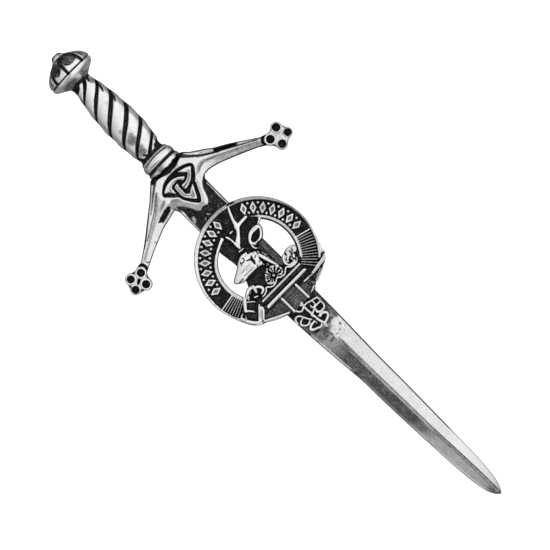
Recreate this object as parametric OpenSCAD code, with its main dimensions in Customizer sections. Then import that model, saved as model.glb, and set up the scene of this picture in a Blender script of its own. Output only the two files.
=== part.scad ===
// Kilt pin: a flat-backed cast sword that carries a cast crest badge on its blade and a pin fitting on its back.
// It lies face up. +X runs to the blade's point, +Z comes out of the front, and the feet of the fitting stand at z = 0.

/* [Hilt] */
// Length of the pommel, from its nub to the grip
pommel_l = 6.4; // [5.6:0.1:7.5]
// Radius of the pommel at its rim
pommel_r = 4.3; // [3.7:0.1:5]
// Petals round the whole pommel, half of which show on the front
pommel_petals = 8; // [6:2:12]
// Depth of the seams between the petals
petal_seam = 0.28; // [0.1:0.02:0.5]
// Length of the twisted grip
grip_l = 17; // [13:0.5:22]
// Radius of the grip at its swell
grip_r = 3.05; // [2.6:0.05:3.5]
// Strands that wind round the grip
grip_strands = 4; // [3:1:6]
// Length of one full turn of a strand
grip_lead = 12.8; // [9:0.2:18]
// Depth of the grooves between the strands
grip_groove = 0.42; // [0.2:0.02:0.6]
// Length of the beaded collars between grip and guard
collar_l = 4; // [3:0.1:5]
// Radius of the largest collar
collar_r = 3.15; // [2.8:0.05:3.5]

/* [Guard] */
// Width of the guard across its two terminals
guard_span = 38.5; // [32:0.5:46]
// Length of the shield between the arms
shield_l = 8.6; // [7.6:0.1:10]
// Width of the shield where the arms leave it
shield_w = 8.8; // [7.8:0.1:10]
// Height of the shield above the flat back
shield_h = 3.3; // [2.9:0.1:3.8]
// Depth of the sunk panel in the shield
panel_depth = 0.8; // [0.4:0.1:1.2]
// Radius of the three arcs that the knot is drawn from
knot_r = 2.55; // [2.2:0.05:2.75]
// Width of the knot's ribbon
knot_w = 0.75; // [0.5:0.05:0.9]
// How far the arms lean towards the blade
arm_lean = 9.05; // [7:0.1:11]
// Width of an arm where it meets its terminal
arm_w = 2; // [1.6:0.1:2.6]
// Height of an arm at the shield
arm_root_h = 2.8; // [2.3:0.1:3.2]
// Height of an arm at its terminal
arm_tip_h = 1.9; // [1.5:0.1:2.2]
// Radius of one lobe of a terminal
lobe_r = 1; // [0.9:0.02:1.2]
// Distance of the lobes from the terminal's middle
lobe_reach = 1.48; // [1.3:0.02:1.7]
// Height of the lobes above the flat back
lobe_h = 2.2; // [1.8:0.1:2.6]
// Radius of the blind hole in each lobe
lobe_hole_r = 0.62; // [0.4:0.02:0.75]

/* [Blade] */
// Length of the blade beyond the shield
blade_l = 69; // [58:0.5:80]
// Width of the blade at the shield
blade_w = 6.7; // [6:0.1:7.6]
// Thickness of the blade at its edges
blade_edge_h = 0.7; // [0.5:0.05:1]
// Height of the polished blade's ridge
ridge_h = 2; // [1.7:0.05:2.4]
// Width of the flat on top of the ridge
ridge_w = 0.45; // [0.3:0.05:0.8]
// Height of the flat seat under the badge
seat_h = 1.3; // [1:0.05:1.6]
// Width of the raised line along the seat's edges
edge_line_w = 0.28; // [0.2:0.02:0.4]
// Height of that line above the seat
edge_line_h = 0.25; // [0.1:0.05:0.4]

/* [Badge] */
// Distance from the shield's tip to the badge's centre
badge_reach = 12.3; // [11.9:0.1:14]
// How far the badge's centre lies below the sword's middle line
badge_drop = 0.4; // [0:0.05:0.8]
// Outer radius of the badge's strap ring
ring_r = 10.55; // [9.5:0.05:11.5]
// Radius of the ring's opening
ring_bore_r = 6.9; // [6.3:0.05:7.2]
// Thickness of the ring at its rims
ring_h = 1.6; // [1.3:0.05:2]
// Thickness of the ring's sunk field
field_h = 0.9; // [0.7:0.05:1.1]
// Width of the outer rim
rim_w = 0.6; // [0.4:0.05:0.8]
// Width of the inner rim
bore_rim_w = 0.7; // [0.5:0.05:0.9]
// Lozenges on the upper left quarter of the field
upper_lozenges = 7; // [4:1:8]
// Lozenges on the lower left quarter of the field
lower_lozenges = 8; // [5:1:9]
// Radial ribs on the upper right of the field
upper_ribs = 14; // [8:1:18]
// Radial ribs on the lower right of the field
lower_ribs = 8; // [5:1:11]
// Width of one rib
rib_w = 0.2; // [0.14:0.02:0.26]
// Height of the stag's head above the badge's back
stag_h = 2.5; // [2:0.1:3]
// Thickness of the antler
antler_w = 0.6; // [0.4:0.05:0.8]
// Width of the coronet's two bars
bar_line_w = 0.5; // [0.3:0.05:0.7]
// Length of the strap's pierced tail beyond the ring
tail_l = 5.6; // [4.6:0.1:6.6]
// Width of the strap's pierced tail
tail_w = 5.6; // [4.8:0.1:6]
// Width of the lines that draw the tail
tail_line_w = 0.36; // [0.26:0.02:0.5]

/* [Pin fitting] */
// Length of the bar on the sword's back
bar_l = 55; // [48:0.5:60]
// Width of the bar
bar_w = 3.6; // [3:0.1:4.4]
// Thickness of the bar
bar_t = 0.8; // [0.6:0.05:1.1]
// How far the bar runs back from the shield's tip
bar_back = 19; // [16:0.5:21]
// Clear height for cloth between the wire and the bar
cloth_gap = 4.3; // [4.1:0.1:5.5]
// Diameter of the pin wire
wire_d = 1; // [0.8:0.05:1.2]
// Length of the wire's point
point_l = 3; // [2:0.2:4]
// Length of the hinge block and of the catch
foot_l = 3; // [2.4:0.1:4]
// Width of the hinge block and of the catch
foot_w = 5; // [4.4:0.1:7]
// Thickness of the catch's lip under the wire
lip_t = 0.65; // [0.5:0.05:1]

/* [Fit] */
// Gap between pieces that are seated on each other
seat_gap = 0.05; // [0.03:0.01:0.1]
// Clearance of the wire in the catch
wire_gap = 0.15; // [0.1:0.05:0.3]

/* [Hidden] */

metal = "silver";
dark_metal = "gray";
// Pieces of one casting run this far into each other
weld = 0.12;

// Stations along the sword, counted from the middle of its whole length
sword_l = pommel_l + grip_l + collar_l + shield_l + blade_l;
pommel_x = -sword_l / 2;
grip_x = pommel_x + pommel_l;
collar_x = grip_x + grip_l;
shield_x = collar_x + collar_l;
blade_x = shield_x + shield_l;
badge_x = blade_x + badge_reach;

// Levels, from the feet up
wire_r = wire_d / 2;
wire_z = lip_t + wire_gap + wire_r;
bar_z = wire_z + wire_r + cloth_gap;
back_z = bar_z + bar_t + seat_gap;
badge_z = back_z + seat_h + seat_gap;

// Points on the half round of the hilt
hilt_steps = 28;
// How far the hilt's half round stands out, as a share of its radius
hilt_relief = 0.92;

// A petal's seam is this many steps of the half round wide on each side
seam_steps = 1.4;

// Columns: share of pommel_l, share of pommel_r, share of petal_seam
POMMEL = [
    [0, 0.08, 0],
    [0.05, 0.17, 0],
    [0.12, 0.20, 0],
    [0.16, 0.26, 0],
    [0.24, 0.50, 0.8],
    [0.34, 0.71, 1],
    [0.47, 0.90, 1],
    [0.58, 0.98, 0.5],
    [0.62, 0.93, 0],
    [0.66, 1.00, 0],
    [0.73, 0.98, 0],
    [0.78, 0.91, 0],
    [0.86, 0.69, 0],
    [0.95, 0.48, 0],
    [1, 0.45, 0],
];

// Columns: share of grip_l, share of grip_r
GRIP = [
    [0, 0.59],
    [0.10, 0.69],
    [0.21, 0.82],
    [0.33, 0.92],
    [0.50, 1.00],
    [0.62, 1.00],
    [0.74, 0.97],
    [0.86, 0.89],
    [0.94, 0.76],
    [1, 0.70],
];
grip_sections = 32;
// Where a groove crosses the crest, as a share of grip_l
groove_place = 0.41;
// Below 1, a strand is full over most of its width and its grooves are narrow
strand_fullness = 0.6;
// The grooves run out over this share of the grip at each end
groove_fade = 1 / 12;

// Columns: share of collar_l, share of collar_r
COLLARS = [
    [0, 0.76],
    [0.03, 0.86],
    [0.08, 0.92],
    [0.12, 0.86],
    [0.15, 0.84],
    [0.18, 0.94],
    [0.26, 0.99],
    [0.34, 0.98],
    [0.41, 0.92],
    [0.44, 0.76],
    [0.56, 0.76],
    [0.60, 0.95],
    [0.66, 1.00],
    [0.72, 0.98],
    [0.76, 0.82],
    [1, 0.82],
];

// Upper half of the shield's outline. Columns: share of shield_l, share of half of shield_w
SHIELD = [
    [1, 0.05],
    [0.99, 0.17],
    [0.93, 0.27],
    [0.83, 0.35],
    [0.71, 0.43],
    [0.62, 0.57],
    [0.56, 0.68],
    [0.52, 0.89],
    [0.23, 1.00],
    [-0.04, 0.77],
];
// Upper half of the sunk panel. Columns as in SHIELD
PANEL = [
    [0.84, 0.02],
    [0.76, 0.15],
    [0.65, 0.30],
    [0.56, 0.39],
    [0.49, 0.44],
    [0.42, 0.59],
    [0.30, 0.75],
    [0.24, 0.81],
    [0.17, 0.69],
    [0.10, 0.45],
];
// Where the knot's middle lies, as a share of shield_l
knot_place = 0.40;
// The centres of the knot's arcs lie this far from its middle, as a share of knot_r
knot_spread = 0.6;
// The shield's sides are upright below and lean in above. Columns: share of shield_h, share of its size
SHIELD_STEPS = [
    [0, 1],
    [0.66, 1],
    [1, 0.9],
];

// An arm from the shield to its terminal. Columns: share of the way across, place of the middle as
// a share of arm_lean, width as a share of arm_w, share of the drop in height from root to tip
ARM = [
    [0, 0.20, 2.60, 0],
    [0.12, 0.31, 2.05, 0.15],
    [0.26, 0.40, 1.55, 0.35],
    [0.40, 0.50, 1.25, 0.55],
    [0.57, 0.64, 1.12, 0.80],
    [0.71, 0.75, 1.00, 0.95],
    [0.90, 0.90, 0.85, 1],
];
// An arm starts under the shield, this share of shield_w from the middle line
arm_start = 0.36;
// The ridge of an arm lies this share of the width behind its middle, and is this share wide
arm_ridge_back = 0.10;
arm_ridge_share = 0.24;
// Height of an arm's edges, as a share of its ridge
arm_edge_share = 0.45;
// Turn of the lobes against the sword's length
lobe_turn = 66;
lobe_web_h = lobe_h * 0.64;
lobe_hole_depth = lobe_h * 0.5;

// The terminals stand so that their outer lobes end at guard_span
terminal_y = guard_span / 2 - lobe_reach * sin(lobe_turn) - lobe_r;
terminal_x = shield_x + arm_lean;

// Half width of the blade. Columns: share of blade_l, share of half of blade_w
BLADE = [
    [0, 1.00],
    [0.35, 0.91],
    [0.42, 0.85],
    [0.49, 0.79],
    [0.57, 0.73],
    [0.71, 0.66],
    [0.86, 0.58],
    [0.93, 0.50],
    [0.957, 0.43],
    [0.971, 0.36],
    [0.986, 0.24],
    [1, 0.03],
];
// The seat ends just past the badge's tail, and the blade's root runs this far under the shield
seat_l = badge_reach + ring_r + tail_l + seat_gap * 3;
blade_root = shield_l / 2;
// No station of the blade lies nearer than this to the seat's end
station_gap = 1;
// Inside the polished part, the seat's end narrows to this share
seat_end_share = 0.8;
// The raised lines of the seat start under the shield, this share of its length behind its tip
edge_line_start = 0.3;
// The point thins out where the blade is narrower than this share of blade_w
thin_share = 1 / 3;

// Levels of the badge's reliefs. Columns: foot as a share of field_h, top as shares of field_h and of ring_h
FIELD_LEVEL = [0, 1, 0];
RIM_LEVEL = [0.5, 0, 1];
ORNAMENT_LEVEL = [0.6, 0, 0.93];
STRAP_LEVEL = [0.7, 0, 1.12];
LEATHER_LEVEL = [0.1, 0.9, 0];
LEAF_LEVEL = [0.2, 0, 0.97];
LEAF_HEART_LEVEL = [0.5, 0, 1.25];
BAR_LEVEL = [0.3, 0, 1.2];
BAND_LEVEL = [0.4, 0, 0.85];
NECK_LEVEL = [0.05, 1.1, 0];
ANTLER_LEVEL = [0.35, 0, 1.07];
TAIL_STRAP_LEVEL = [0.45, 0, 1.03];
TAIL_LOOP_LEVEL = [0.25, 0.95, 0];
TAIL_BEAD_LEVEL = [0.55, 0, 0.9];

// The head's flat underside, as a share of field_h, and how full its dome is: lower is fuller
head_foot = 0.15;
head_fullness = 0.7;
// The stag's head from poll to muzzle, as shares of ring_bore_r.
// Columns: place across, near side, far side, share of stag_h
STAG = [
    [0.11, -0.19, 0.02, 0.55],
    [0, -0.31, 0.145, 0.80],
    [-0.20, -0.35, 0.15, 0.95],
    [-0.36, -0.29, 0.14, 1.00],
    [-0.52, -0.17, 0.145, 0.92],
    [-0.70, -0.065, 0.14, 0.80],
    [-0.79, 0, 0.09, 0.60],
];
// Outline of the neck, as shares of ring_bore_r
NECK = [
    [-0.19, 0.10],
    [-0.28, -0.02],
    [0.12, -0.52],
    [0.35, -0.42],
    [0.62, -0.52],
    [0.62, 0.24],
    [0.45, 0.26],
    [0, 0.18],
];
// Antler lines, as shares of ring_bore_r. Columns: along, across, share of antler_w
BEAM = [
    [-0.46, -0.12, 1.1],
    [-0.59, -0.04, 1],
    [-0.70, 0.06, 1],
    [-0.83, 0.20, 1],
    [-0.91, 0.28, 1],
    [-1.06, 0.28, 0.9],
    [-1.17, 0.32, 0.8],
    [-1.29, 0.39, 0.7],
    [-1.40, 0.45, 0.6],
];
UPPER_TINE = [
    [-0.91, 0.26, 0.9],
    [-0.93, 0.56, 0.8],
];
BROW_TINE = [
    [-0.46, -0.12, 1],
    [-0.72, -0.09, 0.7],
    [-0.91, -0.14, 0.6],
];
EAR_LINK = [
    [-0.52, 0.56, 0.8],
    [-0.64, 0.79, 0.8],
];
EAR_ROOT = [
    [-0.36, 0.20, 0.9],
    [-0.20, 0.08, 1.1],
];
// The ear's ring. Shares of ring_bore_r: along, across, half length, half width
EAR = [-0.44, 0.39, 0.25, 0.14];
ear_turn = -65;

// The coronet's leaves, as shares of ring_bore_r. Columns: along, across, radius
LEAVES = [
    [0.48, 0.61, 0.20],
    [0.52, 0.17, 0.14],
    [0.52, -0.11, 0.14],
    [0.52, -0.55, 0.20],
];
leaf_lobes = 5;
leaf_scallop = 0.16;
// Radius of a leaf's heart, as a share of the leaf's
leaf_heart = 0.35;
// The coronet's bars, as shares of ring_bore_r: place along, half length
BARS = [
    [0.79, 0.64],
    [0.985, 0.65],
];
// The band that the leaves grow from, as shares of ring_bore_r: place along, length along, half width
BAND = [0.62, 0.14, 0.62];
// The inner rim ends, and the sunk leather behind the bars starts, at these shares of ring_bore_r along
bore_rim_end = 0.7;
leather_start = 0.72;

// Lines of the strap's fold and of the buckle, as shares of ring_r. Last column: share of rim_w
FOLD = [
    [0.68, 0.85, 0.9],
    [0.74, 0.78, 0.9],
    [0.73, 0.65, 0.9],
    [0.76, 0.51, 0.9],
    [0.77, 0.28, 0.9],
];
HEM = [
    [0.94, -0.27, 0.7],
    [0.74, -0.60, 0.7],
];
BUCKLE_BAR = [
    [0.275, -0.58, 0.9],
    [0.445, -0.72, 0.9],
];
BUCKLE_SIDE = [
    [0.56, -0.49, 1.4],
    [0.71, -0.66, 1.4],
];
BUCKLE_BOW = [
    [0.71, -0.66, 0.9],
    [0.66, -0.75, 0.9],
    [0.59, -0.80, 0.9],
    [0.49, -0.83, 0.9],
];
BUCKLE_TONGUE = [
    [0.44, -0.71, 0.6],
    [0.54, -0.62, 0.5],
];

field_mid_r = (ring_r - rim_w + ring_bore_r + bore_rim_w) / 2;
field_w = ring_r - rim_w - ring_bore_r - bore_rim_w;
// Arcs of the field that hold the ornament, in degrees
upper_lozenge_arc = [86, 150];
lower_lozenge_arc = [184, 262];
upper_rib_arc = [33, 75];
lower_rib_arc = [280, 299];
// A lozenge's half length and a pellet's place beside it, as shares of the field's width
lozenge_reach = 0.42;
pellet_reach = 0.28;
// A lozenge's half width as a share of the pitch, and a pellet's radius as a share of that half width
lozenge_share = 0.33;
pellet_share = 0.45;

// Loops of the pierced tail. Columns: place and half length as shares of tail_l,
// place and half width as shares of half of tail_w
TAIL_LOOPS = [
    [0.19, 0.15, 0.44, 0.42],
    [0.45, 0.15, 0.62, 0.30],
    [0.72, 0.16, 0.34, 0.32],
    [0.20, 0.15, -0.44, 0.42],
    [0.46, 0.15, -0.62, 0.32],
    [0.73, 0.15, -0.36, 0.34],
];
// Half the distance between the two lines of the strap's tail, as a share of half of tail_w
tail_strap_share = 0.6;

// Joins rings of points, all of one count, into one closed skin
module loft(rings) {
    n = len(rings[0]);
    last = len(rings) - 1;
    sides = [
        for (i = [0:last - 1], j = [0:n - 1])
            let (a = i * n + j, b = i * n + (j + 1) % n)
                each [[a, a + n, b + n], [a, b + n, b]]
    ];
    near_cap = [for (j = [0:n - 1]) j];
    far_cap = [for (j = [0:n - 1]) last * n + n - 1 - j];
    polyhedron(points = [for (ring = rings) each ring], faces = concat(sides, [near_cap, far_cap]));
}

// Half round of the hilt at one station; radii holds one radius for each step round it
function half_round(x, radii) = [
    for (k = [0:hilt_steps])
        let (turn = 180 * k / hilt_steps)
            [x, radii[k] * cos(turn), back_z + hilt_relief * radii[k] * sin(turn)]
];

// Mirrors an upper half outline in the sword's middle line, and gives it its size
function whole_outline(half, length, width) = concat(
    [for (p = half) [p[0] * length, p[1] * width / 2]],
    [for (i = [len(half) - 1:-1:0]) [half[i][0] * length, -half[i][1] * width / 2]]
);

// A form of the badge that rises between its two levels
module relief(level) {
    foot = level[0] * field_h;
    top = level[1] * field_h + level[2] * ring_h;
    translate([0, 0, foot])
        linear_extrude(top - foot)
            children();
}

// Raised line through a path. Columns of the path: along, across, width share
module line(path, unit, width) {
    for (i = [0:len(path) - 2])
        hull()
            for (p = [path[i], path[i + 1]])
                translate([p[0], p[1]] * unit)
                    circle(d = p[2] * width, $fn = 12);
}

module oval_line(half_l, half_w, width) {
    difference() {
        resize([2 * half_l, 2 * half_w]) circle(1, $fn = 24);
        resize([2 * (half_l - width), 2 * (half_w - width)]) circle(1, $fn = 24);
    }
}

// Depth share of a petal's seam at a turn: 1 on the seam, 0 a step away
function seam(turn) =
    let (pitch = 360 / pommel_petals, off = (turn + 360) % pitch)
        max(0, 1 - min(off, pitch - off) / (180 / hilt_steps * seam_steps));

function pommel_rings() = [
    for (row = POMMEL)
        half_round(pommel_x + pommel_l * row[0], [
            for (k = [0:hilt_steps])
                pommel_r * row[1] - petal_seam * row[2] * seam(180 * k / hilt_steps)
        ])
];

// Rise of a strand: 0 in the groove, 1 on its crown
function strand(x, turn) =
    let (phase = grip_strands * (turn - 90 - 360 * (x - grip_x - grip_l * groove_place) / grip_lead))
        pow(abs(sin(phase / 2)), strand_fullness);

function grip_rings() = [
    for (i = [0:grip_sections])
        let (
            share = i / grip_sections,
            x = grip_x + weld + (grip_l - 2 * weld) * share,
            depth = grip_groove * min(1, share / groove_fade, (1 - share) / groove_fade)
        )
            half_round(x, [
                for (k = [0:hilt_steps])
                    grip_r * lookup(share, GRIP) - depth * (1 - strand(x, 180 * k / hilt_steps))
            ])
];

function collar_rings() = [
    for (row = COLLARS)
        half_round(collar_x + (collar_l + weld) * row[0], [for (k = [0:hilt_steps]) collar_r * row[1]])
];

// Pommel, grip and collars are one skin
module hilt() {
    color(metal)
        loft(concat(pommel_rings(), grip_rings(), collar_rings()));
}

// Outline of a pointed loop between two arcs of radius r, whose centres lie centre_r from the knot's middle
function pointed_loop(centre_r, r) =
    let (
        drop = centre_r * sin(60),
        start = asin(drop / r),
        steps = 14,
        arc = [
            for (i = [0:steps])
                let (turn = start + (180 - 2 * start) * i / steps)
                    [centre_r / 2 + r * cos(turn), r * sin(turn) - drop]
        ]
    )
        concat(arc, [for (i = [steps - 1:-1:1]) [arc[i][0], -arc[i][1]]]);

// Triangular knot of three pointed loops
module knot() {
    centre_r = knot_r * knot_spread;
    linear_extrude(panel_depth)
        for (k = [0:2])
            rotate(120 * k)
                difference() {
                    polygon(pointed_loop(centre_r, knot_r + knot_w / 2));
                    polygon(pointed_loop(centre_r, knot_r - knot_w / 2));
                }
}

module shield() {
    outline = whole_outline(SHIELD, shield_l, shield_w);
    middle = [shield_l * knot_place, 0];
    color(metal)
        translate([shield_x, 0, back_z])
            difference() {
                loft([
                    for (step = SHIELD_STEPS)
                        [for (p = outline) concat(middle + step[1] * (p - middle), [shield_h * step[0]])]
                ]);
                translate([0, 0, shield_h - panel_depth])
                    linear_extrude(panel_depth * 2)
                        polygon(whole_outline(PANEL, shield_l, shield_w));
            }
    color(dark_metal)
        translate([shield_x + shield_l * knot_place, 0, back_z + shield_h - panel_depth - weld])
            knot();
}

// One section of the upper arm: flat below, with a ridge between two slopes
function arm_section(row) =
    let (
        start_y = shield_w * arm_start,
        y = start_y + row[0] * (terminal_y - start_y),
        x = shield_x + row[1] * arm_lean,
        half = row[2] * arm_w / 2,
        ridge = x - 2 * half * arm_ridge_back,
        flat_half = half * arm_ridge_share,
        top = arm_root_h + row[3] * (arm_tip_h - arm_root_h),
        edge = top * arm_edge_share
    )
    [
        [x - half, y, back_z],
        [x - half, y, back_z + edge],
        [ridge - flat_half, y, back_z + top],
        [ridge + flat_half, y, back_z + top],
        [x + half, y, back_z + edge],
        [x + half, y, back_z],
    ];

module arm() {
    for (i = [0:len(ARM) - 2])
        hull() loft([arm_section(ARM[i]), arm_section(ARM[i + 1])]);
}

// Four drilled lobes round a lower web
module terminal() {
    difference() {
        union() {
            cylinder(r = lobe_reach, h = lobe_web_h, $fn = 24);
            for (k = [0:3])
                rotate(lobe_turn + 90 * k)
                    translate([lobe_reach, 0, 0])
                        cylinder(r = lobe_r, h = lobe_h, $fn = 20);
        }
        for (k = [0:3])
            rotate(lobe_turn + 90 * k)
                translate([lobe_reach, 0, lobe_h - lobe_hole_depth])
                    cylinder(r = lobe_hole_r, h = lobe_h, $fn = 16);
    }
}

module guard() {
    shield();
    color(metal)
        for (side = [0, 1])
            mirror([0, side, 0]) {
                arm();
                translate([terminal_x, terminal_y, back_z]) terminal();
            }
}

function blade_half(reach) = blade_w / 2 * lookup(reach / blade_l, BLADE);

// One section of the blade: edge height, ridge height and the ridge's half width are given
function blade_section(reach, half, edge, top, flat_half) = [
    [blade_x + reach, half, back_z],
    [blade_x + reach, half, back_z + edge],
    [blade_x + reach, flat_half, back_z + top],
    [blade_x + reach, -flat_half, back_z + top],
    [blade_x + reach, -half, back_z + edge],
    [blade_x + reach, -half, back_z],
];

// The sunk seat is flat from edge to edge, and its end is welded inside the polished part
module blade_seat() {
    stations = [for (row = BLADE) if (row[0] > 0 && row[0] * blade_l < seat_l - station_gap) row[0] * blade_l];
    color(dark_metal)
        loft([
            for (reach = concat([-blade_root, 0], stations, [seat_l, seat_l + weld]))
                let (half = blade_half(max(0, reach)) * (reach > seat_l ? seat_end_share : 1))
                    blade_section(reach, half, seat_h, seat_h, half / 2)
        ]);
    line_start = -shield_l * edge_line_start;
    line_end = badge_reach - ring_r - 2 * seat_gap;
    line_y = blade_half(line_end) - edge_line_w * 0.8;
    color(metal)
        for (side = [-1, 1])
            translate([blade_x + line_start, side * line_y - edge_line_w / 2, back_z + seat_h / 2])
                cube([line_end - line_start, edge_line_w, seat_h / 2 + edge_line_h]);
}

// The polished part keeps its section to the point, where it runs out
module blade_point() {
    stations = concat([seat_l], [for (row = BLADE) if (row[0] * blade_l > seat_l + station_gap) row[0] * blade_l]);
    color(metal)
        loft([
            for (reach = stations)
                let (half = blade_half(reach), thin = min(1, 2 * half / (blade_w * thin_share)))
                    blade_section(reach, half, blade_edge_h * thin, ridge_h * thin, min(ridge_w / 2, half / 2))
        ]);
}

module blade() {
    blade_seat();
    blade_point();
}

module sword() {
    hilt();
    guard();
    blade();
}

// Ring of the strap: a sunk field between two rims
module strap_ring() {
    color(dark_metal)
        relief(FIELD_LEVEL)
            difference() {
                circle(ring_r, $fn = 96);
                circle(ring_bore_r, $fn = 72);
            }
    color(metal)
        relief(RIM_LEVEL) {
            difference() {
                circle(ring_r - rim_w / 8, $fn = 96);
                circle(ring_r - rim_w, $fn = 96);
            }
            difference() {
                circle(ring_bore_r + bore_rim_w, $fn = 72);
                circle(ring_bore_r + bore_rim_w / 8, $fn = 72);
                // The coronet's bars and the strap cover the rim on this side
                translate([ring_bore_r * bore_rim_end, -ring_r]) square(2 * ring_r);
            }
        }
}

// Plain lozenges with pellets between them ornament the field
module lozenges(count, arc) {
    pitch = (arc[1] - arc[0]) / (count - 1);
    half_l = field_w * lozenge_reach;
    half_w = field_mid_r * sin(pitch) * lozenge_share;
    for (k = [0:count - 1])
        rotate(arc[0] + pitch * k)
            translate([field_mid_r, 0])
                polygon([[half_l, 0], [0, half_w], [-half_l, 0], [0, -half_w]]);
    for (k = [0:count - 2], along = [-pellet_reach, pellet_reach])
        rotate(arc[0] + pitch * (k + 0.5))
            translate([field_mid_r + field_w * along, 0])
                circle(half_w * pellet_share, $fn = 8);
}

module ribs(count, arc) {
    for (k = [0:count - 1])
        rotate(arc[0] + (arc[1] - arc[0]) * k / (count - 1))
            translate([ring_bore_r + bore_rim_w / 2, -rib_w / 2])
                square([field_w + bore_rim_w, rib_w]);
}

module ring_ornament() {
    color(metal)
        relief(ORNAMENT_LEVEL) {
            lozenges(upper_lozenges, upper_lozenge_arc);
            lozenges(lower_lozenges, lower_lozenge_arc);
            ribs(upper_ribs, upper_rib_arc);
            ribs(lower_ribs, lower_rib_arc);
        }
}

// The strap folds over on the upper right, and its buckle lies on the lower right
module fold_and_buckle() {
    color(metal)
        relief(STRAP_LEVEL)
            for (path = [FOLD, HEM, BUCKLE_BAR, BUCKLE_SIDE, BUCKLE_BOW, BUCKLE_TONGUE])
                line(path, ring_r, rim_w);
    // Sunk leather fills the opening behind the coronet's bars
    color(dark_metal)
        relief(LEATHER_LEVEL)
            intersection() {
                circle(ring_bore_r + bore_rim_w / 2, $fn = 60);
                translate([ring_bore_r * leather_start, -ring_bore_r]) square([ring_bore_r, 2 * ring_bore_r]);
            }
}

function scalloped(r) = [
    for (turn = [0:12:348])
        r * (1 + leaf_scallop * cos(leaf_lobes * turn)) * [cos(turn), sin(turn)]
];

module coronet() {
    color(metal) {
        for (row = LEAVES)
            translate([row[0], row[1], 0] * ring_bore_r) {
                relief(LEAF_LEVEL) polygon(scalloped(row[2] * ring_bore_r));
                relief(LEAF_HEART_LEVEL) circle(row[2] * ring_bore_r * leaf_heart, $fn = 12);
            }
        relief(BAR_LEVEL)
            for (row = BARS)
                translate([row[0] * ring_bore_r - bar_line_w / 2, -row[1] * ring_bore_r])
                    square([bar_line_w, 2 * row[1] * ring_bore_r]);
        relief(BAND_LEVEL)
            translate([BAND[0], -BAND[2]] * ring_bore_r)
                square([BAND[1], 2 * BAND[2]] * ring_bore_r);
    }
}

// A head section: flat below and domed above
function head_section(row) =
    let (
        near = row[1] * ring_bore_r,
        far = row[2] * ring_bore_r,
        mid = (near + far) / 2,
        half = (far - near) / 2,
        foot = field_h * head_foot
    )
    [
        for (turn = [0:20:180])
            [
                mid - half * cos(turn),
                row[0] * ring_bore_r,
                foot + (stag_h - foot) * row[3] * pow(sin(turn), head_fullness)
            ]
    ];

module stag() {
    color(metal) {
        loft([for (i = [len(STAG) - 1:-1:0]) head_section(STAG[i])]);
        relief(NECK_LEVEL)
            polygon([for (p = NECK) p * ring_bore_r]);
        relief(ANTLER_LEVEL) {
            for (path = [BEAM, UPPER_TINE, BROW_TINE, EAR_LINK, EAR_ROOT])
                line(path, ring_bore_r, antler_w);
            translate([EAR[0], EAR[1]] * ring_bore_r)
                rotate(ear_turn)
                    oval_line(EAR[2] * ring_bore_r, EAR[3] * ring_bore_r, antler_w * 0.75);
        }
    }
}

// The strap's tail leaves the ring along the blade and ends in pierced loops
module tail() {
    half_w = tail_w / 2;
    color(metal) {
        relief(TAIL_STRAP_LEVEL)
            for (side = [-1, 1])
                translate([ring_bore_r, side * half_w * tail_strap_share - tail_line_w / 2])
                    square([ring_r - ring_bore_r + tail_line_w, tail_line_w]);
        translate([ring_r, 0, 0]) {
            relief(TAIL_LOOP_LEVEL) {
                for (row = TAIL_LOOPS)
                    translate([row[0] * tail_l, row[2] * half_w])
                        oval_line(row[1] * tail_l, row[3] * half_w, tail_line_w);
                translate([-rim_w, -tail_line_w / 2]) square([rim_w + tail_l, tail_line_w]);
            }
            relief(TAIL_BEAD_LEVEL)
                translate([-rim_w / 2, 0]) circle(d = tail_line_w * 3, $fn = 16);
        }
    }
}

module crest_badge() {
    translate([badge_x, -badge_drop, badge_z]) {
        strap_ring();
        ring_ornament();
        fold_and_buckle();
        coronet();
        stag();
        tail();
    }
}

// One plain piece: a bar along the back, a hinge block, the wire, and the catch that holds it
module brooch_pin() {
    bar_x = blade_x - bar_back;
    end_r = bar_w / 2;
    hinge_x = bar_x + end_r;
    catch_x = bar_x + bar_l - end_r - foot_l;
    foot_h = bar_z + bar_t / 2;
    wire_l = catch_x + foot_l - hinge_x - foot_l / 2;
    color(dark_metal) {
        difference() {
            union() {
                translate([bar_x + end_r, -bar_w / 2, bar_z]) cube([bar_l - bar_w, bar_w, bar_t]);
                for (x = [bar_x + end_r, bar_x + bar_l - end_r])
                    translate([x, 0, bar_z]) cylinder(d = bar_w, h = bar_t);
                for (x = [hinge_x, catch_x])
                    translate([x, -foot_w / 2, 0]) cube([foot_l, foot_w, foot_h]);
            }
            // The catch is open on one side, so the wire can be pressed in
            translate([catch_x - foot_l, -wire_r - wire_gap, wire_z - wire_r - wire_gap])
                cube([3 * foot_l, foot_w, wire_d + 2 * wire_gap]);
        }
        translate([hinge_x + foot_l / 2, 0, wire_z])
            rotate([0, 90, 0]) {
                cylinder(d = wire_d, h = wire_l);
                translate([0, 0, wire_l]) cylinder(r1 = wire_r, r2 = wire_r / 4, h = point_l);
            }
    }
}

sword();
crest_badge();
brooch_pin();
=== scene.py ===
# %% [markdown]
# # An antique kilt pin, shaped like a small sword
# The real pin is cast in pewter: a flat-backed sword, a crest badge seated on its blade and a pin fitting
# behind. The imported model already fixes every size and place, so this lesson loads it first and then
# dresses it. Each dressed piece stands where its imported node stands, and nothing is fitted by eye
# afterwards.

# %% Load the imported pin
import math

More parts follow.
